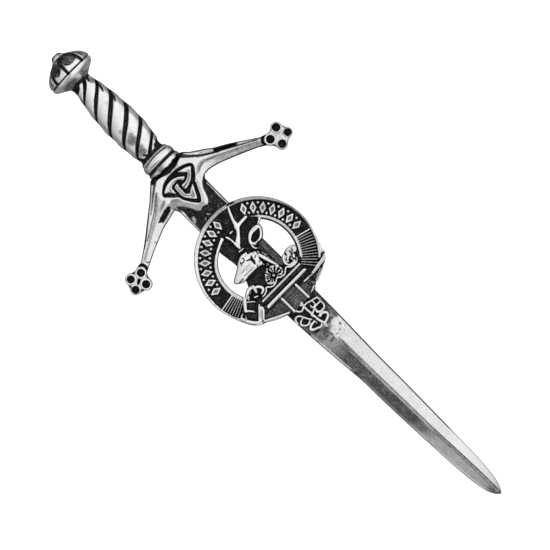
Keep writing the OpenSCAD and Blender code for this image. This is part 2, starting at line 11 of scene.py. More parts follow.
import bpy
import numpy as np
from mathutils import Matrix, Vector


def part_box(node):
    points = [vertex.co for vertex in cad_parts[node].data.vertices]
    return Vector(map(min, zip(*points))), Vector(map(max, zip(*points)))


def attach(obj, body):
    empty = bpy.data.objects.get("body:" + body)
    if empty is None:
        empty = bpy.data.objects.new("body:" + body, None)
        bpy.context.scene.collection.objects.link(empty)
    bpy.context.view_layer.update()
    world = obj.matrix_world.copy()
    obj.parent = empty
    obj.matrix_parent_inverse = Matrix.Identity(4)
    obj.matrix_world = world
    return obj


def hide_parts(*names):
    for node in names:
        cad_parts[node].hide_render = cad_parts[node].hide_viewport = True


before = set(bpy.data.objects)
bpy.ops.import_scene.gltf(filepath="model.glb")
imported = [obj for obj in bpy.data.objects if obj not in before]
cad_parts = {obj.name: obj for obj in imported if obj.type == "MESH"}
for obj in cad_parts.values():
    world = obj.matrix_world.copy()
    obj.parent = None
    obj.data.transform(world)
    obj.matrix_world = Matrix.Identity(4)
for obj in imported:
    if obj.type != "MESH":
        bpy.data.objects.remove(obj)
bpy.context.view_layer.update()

sword_low, sword_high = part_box("sword")
badge_low, badge_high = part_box("crest_badge")

# %% [markdown]
# ## One ruler for every piece
# A jeweller would measure this pin from one end with calipers. The lesson does the same: x runs in
# millimetres from the pommel's nub to the blade's point, y goes across from the middle line, and z rises
# from the piece's own flat back. One function turns such points into metres in the shared frame.

# %% The ruler
SWORD_LENGTH = 105
mm = (sword_high.x - sword_low.x) / SWORD_LENGTH
# Middle of the badge's ring: x and y
BADGE = (48.3, -0.4)
# Where each piece's ruler starts in the shared frame: x of the nub, y of the middle line, z of the flat back
STARTS = {"sword": (sword_low.x, 0, sword_low.z),
          "crest_badge": (sword_low.x, (badge_low.y + badge_high.y) / 2 - BADGE[1] * mm, badge_low.z)}


def place(points, node):
    """Points in millimetres become metres in the shared frame."""
    return np.asarray(points, float) * mm + STARTS[node]


print("one millimetre of the pin is", round(mm, 6), "m")

# %% [markdown]
# ## The camera
# The pin was photographed from straight above, turned so that the blade points down to the right. A long
# lens far away keeps the view free of perspective, so the outline can be compared with the photograph
# directly.

# %% Camera
PICTURE_WIDTH = 92.07 * mm
PICTURE_MIDDLE = (52.22, -0.17, 3.0)
PICTURE_TURN = math.radians(44.5)
CAMERA_HEIGHT = 1.2

camera_data = bpy.data.cameras.new("camera")
camera = bpy.data.objects.new("camera", camera_data)
bpy.context.scene.collection.objects.link(camera)
bpy.context.scene.camera = camera
camera.location = place(PICTURE_MIDDLE, "sword") + [0, 0, CAMERA_HEIGHT]
camera.rotation_euler = (0, 0, PICTURE_TURN)
camera_data.lens = camera_data.sensor_width * CAMERA_HEIGHT / PICTURE_WIDTH
print("lens in mm:", round(camera_data.lens, 1))

# %% [markdown]
# ## Small helpers for shader nodes
# Node trees are easier to read when a node and its links are made in one call. The helper takes socket
# names, and a value that is itself a socket becomes a link.

# %% Node helper
def node(tree, kind, settings=None, **sockets):
    """Adds one shader node. A socket is named, with _ for a space, or numbered, as in i0."""
    made = tree.nodes.new(kind)
    for name, value in (settings or {}).items():
        setattr(made, name, value)
    for name, value in sockets.items():
        numbered = name[0] == "i" and name[1:].isdigit()
        socket = made.inputs[int(name[1:]) if numbered else name.replace("_", " ")]
        if isinstance(value, bpy.types.NodeSocket):
            tree.links.new(value, socket)
        else:
            socket.default_value = value
    return made


def math_node(tree, operation, first, second=0.0):
    """One arithmetic step."""
    return node(tree, "ShaderNodeMath", {"operation": operation}, i0=first, i1=second).outputs[0]


def mapped(tree, value, low, high, new_low, new_high):
    """Moves a value from one range to another, smoothly."""
    made = node(tree, "ShaderNodeMapRange", {"interpolation_type": "SMOOTHSTEP"}, Value=value)
    for name, limit in (("From Min", low), ("From Max", high), ("To Min", new_low), ("To Max", new_high)):
        made.inputs[name].default_value = limit
    return made.outputs["Result"]


print("helpers:", node.__name__, math_node.__name__, mapped.__name__)

# %% [markdown]
# ## Studio light
# Polished metal has little colour of its own: it shows what stands round it. The studio is therefore a soft
# tent: white overhead, darker towards the horizon, and a little brighter on one side, so that slopes which
# face that side light up and the opposite slopes turn grey. A tent made in the world shader gives no hard
# reflections.

# %% World
# Brightness of the tent overhead and at its edge, and the height, as a share, where the full brightness
# starts
TENT_TOP = 1.12
TENT_EDGE = 0.6
TENT_FULL_HEIGHT = 0.75
# Brightness of its dark side and its bright side, and where across the tent the change between them lies
DARK_SIDE, BRIGHT_SIDE = 0.6, 1.05
LEAN_START, LEAN_END = -0.9, 0.35

world = bpy.data.worlds.new("studio tent")
bpy.context.scene.world = world
world.use_nodes = True
tree = world.node_tree
tree.nodes.clear()
direction = node(tree, "ShaderNodeSeparateXYZ", Vector=node(tree, "ShaderNodeTexCoord").outputs["Generated"])
height = mapped(tree, direction.outputs["Z"], 0.0, TENT_FULL_HEIGHT, TENT_EDGE, TENT_TOP)
lean = mapped(tree, direction.outputs["Y"], LEAN_START, LEAN_END, DARK_SIDE, BRIGHT_SIDE)
light = math_node(tree, "MULTIPLY", height, lean)
background = node(tree, "ShaderNodeBackground", Color=(1, 1, 1, 1), Strength=light)
node(tree, "ShaderNodeOutputWorld", Surface=background.outputs[0])
bpy.context.scene.view_settings.view_transform = "Standard"
print("tent from", TENT_EDGE, "at its edge to", TENT_TOP, "overhead")

# %% [markdown]
# ## The floor
# The photograph's background is plain white paper, exposed so far that no shadow shows. The floor glows for
# the camera and stays a quiet grey for everything that the metal mirrors, as a dark table edge would.

# %% Floor
FLOOR_SIZE = 3.0
PAPER_GREY = 0.5
PAPER_GLOW = 0.95

floor_material = bpy.data.materials.new("white paper")
floor_material.use_nodes = True
tree = floor_material.node_tree
tree.nodes.clear()
camera_ray = node(tree, "ShaderNodeLightPath").outputs["Is Camera Ray"]
paper = node(tree, "ShaderNodeBsdfDiffuse", Color=(PAPER_GREY, PAPER_GREY, PAPER_GREY, 1))
strength = math_node(tree, "MULTIPLY", camera_ray, PAPER_GLOW)
glow = node(tree, "ShaderNodeEmission", Color=(1, 1, 1, 1), Strength=strength)
both = node(tree, "ShaderNodeAddShader", i0=paper.outputs[0], i1=glow.outputs[0])
node(tree, "ShaderNodeOutputMaterial", Surface=both.outputs[0])

floor_mesh = bpy.data.meshes.new("floor")
reach = FLOOR_SIZE / 2
corners = [(-reach, -reach, 0), (reach, -reach, 0), (reach, reach, 0), (-reach, reach, 0)]
floor_mesh.from_pydata(corners, [], [(0, 1, 2, 3)])
floor_mesh.materials.append(floor_material)
floor = bpy.data.objects.new("floor", floor_mesh)
bpy.context.scene.collection.objects.link(floor)
print("floor", FLOOR_SIZE, "m square")

# %% [markdown]
# ## Antique pewter
# The caster dips the pin in a black bath and then polishes what stands high, so the recesses stay black and
# the ridges shine. Each mesh carries a stain value at every point: 0 is bright metal and 1 is the black of
# the bath. Mostly it is the bath's real stain, but in places it is painted shade or a painted highlight, laid
# where a slope or a steep edge would turn darker or brighter by how the light falls. The shader could have
# found the recesses by itself from their depth, but worn patches and smudges follow no such rule, so the
# stain is laid on while each piece is shaped, and the shader only breaks it up with fine noise.

# %% Tarnish and shade group
BLOTCH_SCALE = 900.0
SPECK_SCALE = 5200.0
# How fast a stain darkens, and how much of the noise and of the grain clean metal still has
STAIN_CURVE = 2.3
CLEAN_NOISE = 0.2
CLEAN_GRAIN = 0.15
BLACK_BATH = (0.012, 0.012, 0.013)
BATH_ROUGHNESS = 0.55
# Sockets of the mix node that share a name and are reached by number
COLOR_A, COLOR_B, COLOR_RESULT = 6, 7, 2
FLOAT_A, FLOAT_B, FLOAT_RESULT = 2, 3, 0


def tarnish_and_shade_group():
    """Turns a stain, which in places is painted shade, from 0 to 1 into colour, roughness and a fine surface
    height.
    """
    group = bpy.data.node_groups.new("tarnish_and_shade", "ShaderNodeTree")
    face = group.interface
    for name in ("Stain_and_shade", "Blotches", "Specks", "Polish"):
        face.new_socket(name, in_out="INPUT", socket_type="NodeSocketFloat")
    face.new_socket("Metal", in_out="INPUT", socket_type="NodeSocketColor")
    face.new_socket("Color", in_out="OUTPUT", socket_type="NodeSocketColor")
    face.new_socket("Roughness", in_out="OUTPUT", socket_type="NodeSocketFloat")
    face.new_socket("Height", in_out="OUTPUT", socket_type="NodeSocketFloat")
    given = node(group, "NodeGroupInput").outputs
    where = node(group, "ShaderNodeTexCoord").outputs["Object"]
    blotch = node(group, "ShaderNodeTexNoise", Vector=where, Scale=BLOTCH_SCALE, Detail=3.0).outputs["Fac"]
    speck = node(group, "ShaderNodeTexNoise", Vector=where, Scale=SPECK_SCALE, Detail=4.0).outputs["Fac"]
    broken = given["Stain_and_shade"]
    uneven = math_node(group, "ADD", given["Stain_and_shade"], CLEAN_NOISE)
    for noise, amount in ((blotch, given["Blotches"]), (speck, given["Specks"])):
        swing = math_node(group, "MULTIPLY", math_node(group, "SUBTRACT", noise, 0.5), amount)
        broken = math_node(group, "ADD", broken, math_node(group, "MULTIPLY", swing, uneven))
    stain_and_shade = node(group, "ShaderNodeClamp", Value=broken, Min=0.0, Max=1.0).outputs[0]
    shine = math_node(group, "POWER", math_node(group, "SUBTRACT", 1.0, stain_and_shade), STAIN_CURVE)
    color = node(group, "ShaderNodeMix", {"data_type": "RGBA"}, Factor=shine)
    color.inputs[COLOR_A].default_value = (*BLACK_BATH, 1)
    group.links.new(given["Metal"], color.inputs[COLOR_B])
    rough = node(group, "ShaderNodeMix", {"data_type": "FLOAT"}, Factor=stain_and_shade)
    group.links.new(given["Polish"], rough.inputs[FLOAT_A])
    rough.inputs[FLOAT_B].default_value = BATH_ROUGHNESS
    grain = math_node(group, "MULTIPLY", speck, math_node(group, "ADD", stain_and_shade, CLEAN_GRAIN))
    out = node(group, "NodeGroupOutput")
    group.links.new(color.outputs[COLOR_RESULT], out.inputs["Color"])
    group.links.new(rough.outputs[FLOAT_RESULT], out.inputs["Roughness"])
    group.links.new(grain, out.inputs["Height"])
    return group


tarnish_and_shade = tarnish_and_shade_group()
print("tarnish group with", len(tarnish_and_shade.nodes), "nodes")

# %% [markdown]
# Three finishes use the group: the sword, the badge and the plain fitting behind. Only their brightness,
# their polish and the amount of noise differ.

# %% Metal materials
GRAIN_DEPTH = 0.05 * mm


def pewter(name, metal, polish, blotches, specks, grain, stain_and_shade=None):
    """A finish of the pin. Without a fixed stain, the stain and painted shade stored on the mesh are used."""
    material = bpy.data.materials.new(name)
    material.use_nodes = True
    tree = material.node_tree
    tree.nodes.clear()
    tone_node = node(tree, "ShaderNodeGroup", {"node_tree": tarnish_and_shade}, Metal=(*metal, 1), Polish=polish,
                  Blotches=blotches, Specks=specks)
    if stain_and_shade is None:
        painted = node(tree, "ShaderNodeAttribute", {"attribute_name": "stain_and_shade"}).outputs["Fac"]
        tree.links.new(painted, tone_node.inputs["Stain_and_shade"])
    else:
        tone_node.inputs["Stain_and_shade"].default_value = stain_and_shade
    bump = node(tree, "ShaderNodeBump", Strength=grain, Distance=GRAIN_DEPTH, Height=tone_node.outputs["Height"])
    surface = node(tree, "ShaderNodeBsdfPrincipled", Base_Color=tone_node.outputs["Color"], Metallic=1.0,
                   Roughness=tone_node.outputs["Roughness"], Normal=bump.outputs["Normal"])
    node(tree, "ShaderNodeOutputMaterial", Surface=surface.outputs[0])
    return material


sword_metal = pewter("antique pewter", (0.84, 0.84, 0.85), polish=0.27, blotches=0.5, specks=1.5, grain=0.5)
badge_metal = pewter("badge pewter", (0.84, 0.84, 0.85), polish=0.27, blotches=0.4, specks=1.3, grain=0.5)
pin_metal = pewter("pin fitting metal", (0.62, 0.62, 0.64), polish=0.38, blotches=0.3, specks=0.2, grain=0.4,
                   stain_and_shade=0.25)
print("finishes:", [m.name for m in (sword_metal, badge_metal, pin_metal)])

# %% [markdown]
# ## Drawing with distances
# Every ornament on the pin can be said with one idea: how far is this point from a line or from the edge of
# a shape? Where the distance is below zero, the point is inside. Such distances can be softened, rounded
# and joined without any cutting of meshes, which is why relief carved this way has no broken faces.

# %% Curves and distances
def smooth(low, high, value):
    """0 at low and 1 at high, with a soft start and end."""
    share = np.clip((value - low) / (high - low), 0, 1)
    return share * share * (3 - 2 * share)


def curve(points, closed=False, step=0.12):
    """A smooth line through a few points. Further columns, such as a width, are carried along."""
    points = np.array(points, float)
    if closed:
        guides = np.vstack([points[-1:], points, points[:2]])
    else:
        guides = np.vstack([2 * points[:1] - points[1:2], points, 2 * points[-1:] - points[-2:-1]])
    parts = []
    for before, start, end, after in zip(guides, guides[1:], guides[2:], guides[3:]):
        count = max(2, int(math.dist(start[:2], end[:2]) / step))
        t = np.arange(count)[:, None] / count
        bend = (2 * before - 5 * start + 4 * end - after) * t**2
        bend = bend + (3 * start - before - 3 * end + after) * t**3
        parts.append(start + 0.5 * ((end - before) * t + bend))
    return np.vstack(parts if closed else parts + [points[-1:]])


# Distance given to points that a line's window leaves out, in mm
FAR = 9.0


def stroke(x, y, path):
    """Distance to the edge of a drawn line. Columns of the path: x, y, width."""
    path = np.asarray(path, float)
    low, high = path[:, :2].min(0) - 1, path[:, :2].max(0) + 1
    window = (x > low[0]) & (x < high[0]) & (y > low[1]) & (y < high[1])
    px, py = x[window], y[window]
    near = np.full(px.shape, FAR)
    for (ax, ay, aw), (bx, by, bw) in zip(path, path[1:]):
        run = max((bx - ax) ** 2 + (by - ay) ** 2, 1e-12)
        share = np.clip(((px - ax) * (bx - ax) + (py - ay) * (by - ay)) / run, 0, 1)
        off = np.hypot(px - ax - (bx - ax) * share, py - ay - (by - ay) * share)
        near = np.minimum(near, off - (aw + (bw - aw) * share) / 2)
    found = np.full(x.shape, FAR)
    found[window] = near
    return found


def area(x, y, outline):
    """Distance to the edge of a closed outline, below zero inside it."""
    outline = np.asarray(outline, float)[:, :2]
    near = np.full(x.shape, FAR)
    inside = np.zeros(x.shape, bool)
    for (ax, ay), (bx, by) in zip(outline, np.roll(outline, -1, 0)):
        run = max((bx - ax) ** 2 + (by - ay) ** 2, 1e-12)
        share = np.clip(((x - ax) * (bx - ax) + (y - ay) * (by - ay)) / run, 0, 1)
        near = np.minimum(near, np.hypot(x - ax - (bx - ax) * share, y - ay - (by - ay) * share))
        if ay != by:
            inside ^= ((ay > y) != (by > y)) & (x < ax + (y - ay) * (bx - ax) / (by - ay))
    return np.where(inside, -near, near)


def disc(x, y, middle, radius):
    """Distance to the edge of a round spot."""
    return np.hypot(x - middle[0], y - middle[1]) - radius


def band(value, middle, half_width):
    """Distance to the edges of a strip on both sides of a middle value."""
    return np.abs(value - middle) - half_width


def melt(first, second, reach):
    """Joins two distances with a rounded hollow between them."""
    share = np.clip(0.5 + 0.5 * (second - first) / reach, 0, 1)
    return second + (first - second) * share - reach * share * (1 - share)


print("a disc's distance at its middle:", disc(0.0, 0.0, (0, 0), 1.0))

# %% [markdown]
# ## Shaping and staining a surface
# A land is a grid of points that holds a height and a stain for each; in places the stain is painted shade
# or a painted highlight. Laying a form on it works as a brush does: where the brush covers the land, height
# and stain move to the brush's own.

# %% Brushes
# All in mm: softness of a brush's edge, how much a raised line is laid wider than its table says, and how
# far its crown falls to its edges
SOFT = 0.09
SPREAD = 0.05
CROWN_DROP = 0.15


def cover(distance, soft=SOFT):
    """1 well inside a form and 0 outside it, with a soft edge."""
    return smooth(soft, -soft, distance)


def paint(land, distance, stain_and_shade, soft=SOFT):
    """Changes the stain, or the painted shade it stands for, inside a form. The stain may be one value or a
    grid.
    """
    land["stain_and_shade"] = land["stain_and_shade"] + (stain_and_shade - land["stain_and_shade"]) * cover(distance, soft)


def paint_lines(land, marks):
    """Stains smooth lines, or paints shade along them. Columns of the marks: stain, softness, then points of
    x, y, width.
    """
    for stain_and_shade, soft, path in marks:
        paint(land, stroke(land["x"], land["y"], curve(path)), stain_and_shade, soft)


def paint_areas(land, marks, rounded=False):
    """Stains areas, or paints shade or highlights on them. Columns of the marks: stain, softness, then points
    of x, y.
    """
    for stain_and_shade, soft, points in marks:
        paint(land, area(land["x"], land["y"], curve(points, True) if rounded else points), stain_and_shade, soft)


def lay(land, distance, top, stain_and_shade, soft=SOFT):
    """Gives the land a new height and stain inside a form."""
    land["z"] = land["z"] + (top - land["z"]) * cover(distance, soft)
    paint(land, distance, stain_and_shade, soft)


def crown(distance, width, top, drop):
    """A height that is full in the middle of a line and lower by drop at its edges."""
    return top - drop * (1 - np.clip(-2 * distance / width, 0, 1)) ** 2


def draw(land, path, top, stain_and_shade, drop=CROWN_DROP, soft=SOFT):
    """Lays a raised line with a round crown along a smooth path."""
    path = curve(path)
    distance = stroke(land["x"], land["y"], path) - SPREAD
    lay(land, distance, crown(distance, path[:, 2].mean(), top, drop), stain_and_shade, soft)


def carve(land, path, depth, stain_and_shade, soft=SOFT):
    """Sinks a line into the land by a depth."""
    distance = stroke(land["x"], land["y"], curve(path))
    land["z"] = land["z"] - depth * cover(distance, soft)
    paint(land, distance, stain_and_shade, soft)


def drop_edge(land, outline, drop, width):
    """Rounds the land off along an outline."""
    land["z"] = land["z"] - drop * (1 - np.clip(-outline / width, 0, 1)) ** 2


print("a line's crown, from its middle to its edge:", crown(np.array([-0.2, -0.1, 0]), 0.4, 1, CROWN_DROP))

# %% [markdown]
# ## From land to mesh
# Two kinds of grid are enough. Round bars such as the grip are skins of rings, with their back closed flat.
# The guard and the badge are flat-backed reliefs with free outlines: grid points near the outline slide
# onto it, cells outside are dropped, and a wall runs down to the back.

# %% Mesh makers
SHARP_ANGLE = math.radians(42)
# Material and material slot of each node's pieces
METALS = {"sword": (sword_metal, "pewter"), "crest_badge": (badge_metal, "badge_pewter")}
# Stain of walls and backs, and how far down a wall its third row of points lies, as a share
BACK_STAIN = 0.32
BELOW_RIM = 0.06
# Points nearer to the outline than this share of a cell slide onto it
SLIDE_REACH = 0.55
# Distance between the points of a land in mm: guard and ring, crest, tail
CELL, FINE_CELL, WIRE_CELL = 0.085, 0.07, 0.06
# Triangles of each piece, as they are made
triangle_counts = []


def make_piece(name, points, faces, stain_and_shade, node_name):
    """One mesh piece, in its place, with its stain and painted shade stored at every point."""
    metal, slot = METALS[node_name]
    mesh = bpy.data.meshes.new(name)
    mesh.from_pydata(place(points, node_name).tolist(), [], faces)
    mesh.attributes.new("stain_and_shade", "FLOAT", "POINT").data.foreach_set("value", np.asarray(stain_and_shade, np.float32))
    mesh.materials.append(metal)
    mesh.shade_smooth()
    mesh.set_sharp_from_angle(angle=SHARP_ANGLE)
    piece = bpy.data.objects.new(name, mesh)
    bpy.context.scene.collection.objects.link(piece)
    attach(piece, "root")
    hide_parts(node_name)
    triangles = sum(len(face) - 2 for face in faces)
    triangle_counts.append(triangles)
    print(name, "has", triangles, "triangles")


def skin(name, land):
    """Closes a grid of half rings into a solid of the sword, with a flat back and two ends."""
    land["stain_and_shade"][:, [0, -1]] = BACK_STAIN
    rows, columns = land["x"].shape
    index = np.arange(rows * columns).reshape(rows, columns)
    a, b, c, d = index[:-1, :-1], index[:-1, 1:], index[1:, 1:], index[1:, :-1]
    faces = np.stack([a, b, c, d], -1).reshape(-1, 4).tolist()
    faces += np.stack([index[:-1, 0], index[1:, 0], index[1:, -1], index[:-1, -1]], -1).tolist()
    faces += [index[0, ::-1].tolist(), index[-1].tolist()]
    points = np.stack([land["x"], land["y"], land["z"]], -1).reshape(-1, 3)
    make_piece(name, points, faces, land["stain_and_shade"].ravel(), "sword")


def cast(name, land, outline, foot=0.0, node_name="sword"):
    """Cuts a relief out along its outline and closes its walls and back."""
    x, y, cell = land["x"], land["y"], land["cell"]
    slope_y, slope_x = np.gradient(outline, cell)
    steep = np.maximum(slope_x**2 + slope_y**2, 1e-6)
    slide = np.where(np.abs(outline) < SLIDE_REACH * cell, outline / steep, 0)
    x, y = x - slide * slope_x, y - slide * slope_y
    kept = outline <= SLIDE_REACH * cell
    index = np.arange(x.size).reshape(x.shape)
    corners = np.stack([index[:-1, :-1], index[:-1, 1:], index[1:, 1:], index[1:, :-1]], -1).reshape(-1, 4)
    good = kept.ravel()[corners]
    whole = corners[good.sum(1) == 4]
    three = good.sum(1) == 3
    cut = corners[three][good[three]].reshape(-1, 3)
    used = np.unique(np.concatenate([whole.ravel(), cut.ravel()]))
    new_index = np.full(x.size, -1)
    new_index[used] = np.arange(len(used))
    whole, cut = new_index[whole], new_index[cut]
    count = len(used)
    edges = np.vstack([np.stack([f, np.roll(f, -1, 1)], -1).reshape(-1, 2) for f in (whole, cut)])
    keys, opposite = edges[:, 0] * count + edges[:, 1], edges[:, 1] * count + edges[:, 0]
    rim = edges[~np.isin(keys, opposite)]
    # The wall has a third row of points just below its top, so that marks on the front end there
    on_rim = np.unique(rim)
    middle = np.zeros(count, int)
    middle[on_rim] = 2 * count + np.arange(len(on_rim))
    first, second = rim.T
    walls = np.vstack([np.stack([second, first, middle[first], middle[second]], -1),
                       np.stack([middle[second], middle[first], first + count, second + count], -1)])
    faces = whole.tolist() + cut.tolist() + walls.tolist()
    faces += (whole[:, ::-1] + count).tolist() + (cut[:, ::-1] + count).tolist()
    flat = [grid.ravel()[used] for grid in (x, y, land["z"], land["stain_and_shade"])]
    top = np.stack(flat[:3], -1)
    back = np.stack([flat[0], flat[1], np.full(count, foot)], -1)
    below = top[on_rim] + (back[on_rim] - top[on_rim]) * BELOW_RIM
    stain_and_shade = np.concatenate([flat[3], np.full(count + len(on_rim), BACK_STAIN)])
    make_piece(name, np.vstack([top, back, below]), faces, stain_and_shade, node_name)


def new_land(x_range, y_range, cell, z, stain_and_shade):
    """A flat rectangle of land to shape."""
    x, y = np.meshgrid(np.arange(*x_range, cell), np.arange(*y_range, cell))
    height, tone = np.full(x.shape, float(z)), np.full(x.shape, float(stain_and_shade))
    return {"x": x, "y": y, "z": height, "stain_and_shade": tone, "cell": cell}


print("stain of walls and backs:", BACK_STAIN)

# %% [markdown]
# ## The half-round hilt
# Pommel, grip and collars were turned or twisted in the master and cast as half rounds with a flat back. A
# surface of rings describes them best: a radius for each station along the hilt, and a wave round it for
# petals or strands.

# %% Half rounds
# Height of a half round as a share of its radius
RELIEF = 0.92
# Below 1, the crest is flatter than a true circle and the edges fall faster
FULLNESS = 0.6
# The hilt's middle line is not quite straight. Columns: x, y
HILT_MIDDLE = [(0, 0.16), (1, 0.18), (3, 0), (5, -0.06), (6, -0.08), (7, 0.04), (8, 0.09), (11, 0.03),
               (13, 0), (18, 0), (21, -0.08), (22.5, -0.2), (24, -0.1), (27, -0.08)]


def half_round(start, end, step, turn_count, stain_and_shade):
    """Grid of stations by turns. A turn of 0 degrees lies at the upper edge, 90 on the crest."""
    turns = np.radians(np.linspace(0, 180, turn_count))
    x, turn = np.meshgrid(np.arange(start, end, step), turns, indexing="ij")
    return {"x": x, "turn": turn, "stain_and_shade": np.full(x.shape, stain_and_shade)}


def swell(land, radius):
    """Lifts a half-round grid to its radius."""
    middle = np.interp(land["x"], *np.array(HILT_MIDDLE).T)
    land["y"] = middle + radius * np.cos(land["turn"])
    land["z"] = RELIEF * radius * np.sin(land["turn"]) ** FULLNESS
    # Distance in from the silhouette
    land["edge"] = radius - np.abs(land["y"] - middle)


def profile(x, table):
    """Radius at each station, smooth through the table's rows of station and radius."""
    line = curve(table, step=0.05)
    return np.interp(x, line[:, 0], line[:, 1])


print("the hilt's middle line has", len(HILT_MIDDLE), "stations")

# %% [markdown]
# ### Pommel
# The pommel is a domed cap of petals with a small button as its nub, and a plain bowl below a rim. The petals
# are parted by blackened seams that run together at the nub. They could be modelled one by one, but they all
# share one smooth dome, so the dome is made first and the seams are sunk into it.

# %% Pommel tables
# Shape of the cap, the bowl and the rim between them. Columns: x, radius
POMMEL = [(0.0, 0.48), (0.12, 0.82), (0.5, 1.08), (0.8, 1.34), (1.0, 1.62), (1.5, 2.48), (2.0, 3.18),
          (2.5, 3.72), (3.0, 4.1), (3.5, 4.3), (3.88, 4.38)]
BOWL = [(4.12, 4.34), (4.4, 4.34), (4.75, 4.2), (5.05, 3.88), (5.5, 3.08), (5.9, 2.42), (6.2, 2.05),
        (6.6, 1.95)]
RIM = [(3.92, 4.17), (3.97, 4.1), (4.03, 4.1), (4.08, 4.17)]
# Seams between the petals. Columns: x, y, width
SEAMS = [
    [(1.2, 0.1, 0.5), (1.6, -0.2, 0.9), (2.1, -0.32, 0.6), (2.8, -0.35, 0.5), (3.4, -0.38, 0.46),
     (3.95, -0.38, 0.5)],
    [(0.95, 0.95, 0.4), (1.4, 1.7, 0.55), (2.1, 2.35, 0.5), (3.0, 2.72, 0.46), (3.95, 2.82, 0.4)],
    [(1.0, -1.1, 0.2), (1.5, -1.85, 0.35), (2.2, -2.5, 0.45), (3.1, -2.88, 0.42), (3.95, -2.95, 0.4)],
]
# Tones of the pommel. Columns: stain, softness, then points of x, y
POMMEL_AREAS = [
    (0.30, 0.25, [(1.0, 1.6), (2.0, 3.1), (3.2, 4.1), (3.95, 4.4), (3.95, 2.9), (2.4, 2.5)]),
    (0.26, 0.25, [(1.2, -1.8), (2.0, -2.9), (3.2, -4.1), (3.95, -4.4), (3.95, -3.0), (2.4, -2.6)]),
    (0.62, 0.20, [(1.1, 0.5), (1.3, 1.4), (2.0, 2.2), (3.0, 2.4), (3.15, 1.7), (3.1, 0.9), (2.7, 0.2),
                  (1.8, 0.1)]),
    (0.80, 0.15, [(1.0, -0.9), (2.2, -0.6), (2.7, -1.0), (3.1, -1.7), (2.9, -2.4), (2.2, -2.4), (1.5, -1.9)]),
    (0.02, 0.09, [(3.15, 0.9), (2.65, 0.12), (3.3, -0.05), (3.9, -0.05), (3.85, 2.35), (3.3, 2.3),
                  (3.1, 2.1), (3.25, 1.5)]),
    (0.05, 0.10, [(2.6, -0.75), (3.4, -0.62), (3.95, -0.75), (3.95, -2.65), (3.3, -2.6), (2.85, -2.3),
                  (3.25, -2.0), (3.05, -1.4)]),
    # The next two rows are painted light: the bowl's upper side brighter as a painted highlight, its lower
    # side greyer as painted shade
    (0.04, 0.15, [(4.2, 2.7), (4.5, 2.5), (4.85, 1.4), (5.2, 1.0), (5.75, 1.0), (5.4, 0.0), (4.8, -0.6),
                  (4.2, -0.2)]),
    (0.20, 0.20, [(4.5, -0.5), (4.9, -0.6), (5.2, -1.6), (5.0, -4.2), (4.6, -4.3), (4.55, -2.0)]),
    (0.46, 0.25, [(5.15, -0.3), (5.7, -0.1), (6.1, -0.8), (6.1, -2.2), (5.5, -2.9), (5.15, -2.4)]),
    (0.42, 0.15, [(5.5, 2.3), (6.0, 2.3), (6.15, 0.2), (5.85, 0.0), (5.8, 1.0), (5.5, 1.4)]),
    (0.92, 0.12, [(5.95, 0.2), (6.1, 1.2), (6.25, 2.1), (6.7, 2.1), (6.7, -1.9), (6.2, -1.9), (5.95, -0.8)]),
]
# Columns: stain, softness, then points of x, y, width
POMMEL_LINES = [
    (0.42, 0.15, [(2.1, 1.6, 0.3), (2.5, 1.4, 0.4), (2.8, 1.6, 0.3)]),
    (0.95, 0.07, [(2.55, 0.42, 0.2), (2.85, 0.6, 0.16), (3.05, 0.95, 0.12)]),
    (0.85, 0.06, [(2.6, -1.05, 0.12), (2.95, -1.45, 0.16), (3.2, -1.85, 0.14)]),
    (0.45, 0.08, [(2.65, -1.7, 0.2), (2.8, -1.95, 0.2)]),
    (0.02, 0.07, [(2.3, 2.85, 0.1), (2.8, 3.06, 0.16), (3.3, 3.2, 0.18), (3.85, 3.26, 0.16)]),
    (0.75, 0.06, [(1.6, 2.25, 0.12), (2.3, 3.1, 0.12), (3.1, 3.62, 0.12)]),
    (0.80, 0.06, [(2.75, 3.3, 0.08), (3.25, 3.48, 0.14)]),
    (0.60, 0.05, [(2.0, 2.85, 0.08), (2.7, 3.45, 0.1), (3.4, 3.85, 0.08)]),
    (0.02, 0.07, [(2.4, -2.95, 0.1), (3.0, -3.3, 0.2), (3.6, -3.42, 0.2), (3.9, -3.3, 0.16)]),
    (0.80, 0.06, [(2.85, -3.5, 0.08), (3.2, -3.65, 0.16), (3.55, -3.72, 0.12)]),
    (0.70, 0.06, [(1.7, -2.35, 0.1), (2.3, -3.15, 0.12), (2.9, -3.75, 0.1)]),
    (1.00, 0.07, [(4.0, 4.4, 0.22), (3.98, 2.8, 0.2), (3.92, 0.6, 0.18), (3.98, -1.0, 0.2),
                  (4.05, -2.6, 0.2), (4.2, -4.3, 0.24)]),
    (0.55, 0.08, [(4.95, 4.1, 0.2), (5.3, 3.5, 0.22), (5.8, 2.6, 0.25), (6.1, 2.1, 0.25)]),
    (0.35, 0.08, [(4.75, 3.9, 0.2), (4.9, 2.4, 0.2), (5.2, 1.3, 0.15)]),
    (0.02, 0.07, [(4.2, 0.2, 0.1), (4.22, -0.9, 0.16), (4.35, -1.9, 0.2), (4.42, -2.9, 0.2)]),
    (0.40, 0.06, [(4.42, 0.0, 0.08), (4.5, -1.0, 0.12), (4.6, -1.9, 0.1)]),
    (0.22, 0.12, [(5.55, -1.3, 0.3), (5.75, -1.3, 0.3)]),
    (1.00, 0.08, [(0.98, 0.85, 0.16), (0.9, 0.1, 0.18), (0.98, -0.7, 0.16)]),
    (0.97, 0.06, [(0.5, 0.95, 0.1), (0.17, 0.6, 0.16), (0.08, 0.1, 0.2), (0.15, -0.45, 0.2),
                  (0.45, -0.85, 0.16)]),
]
SEAM_DEPTH = 0.22
# Start, end and step of the stations, number of turns, stain
POMMEL_GRID = (0, 6.6, 0.055, 181, 0.14)
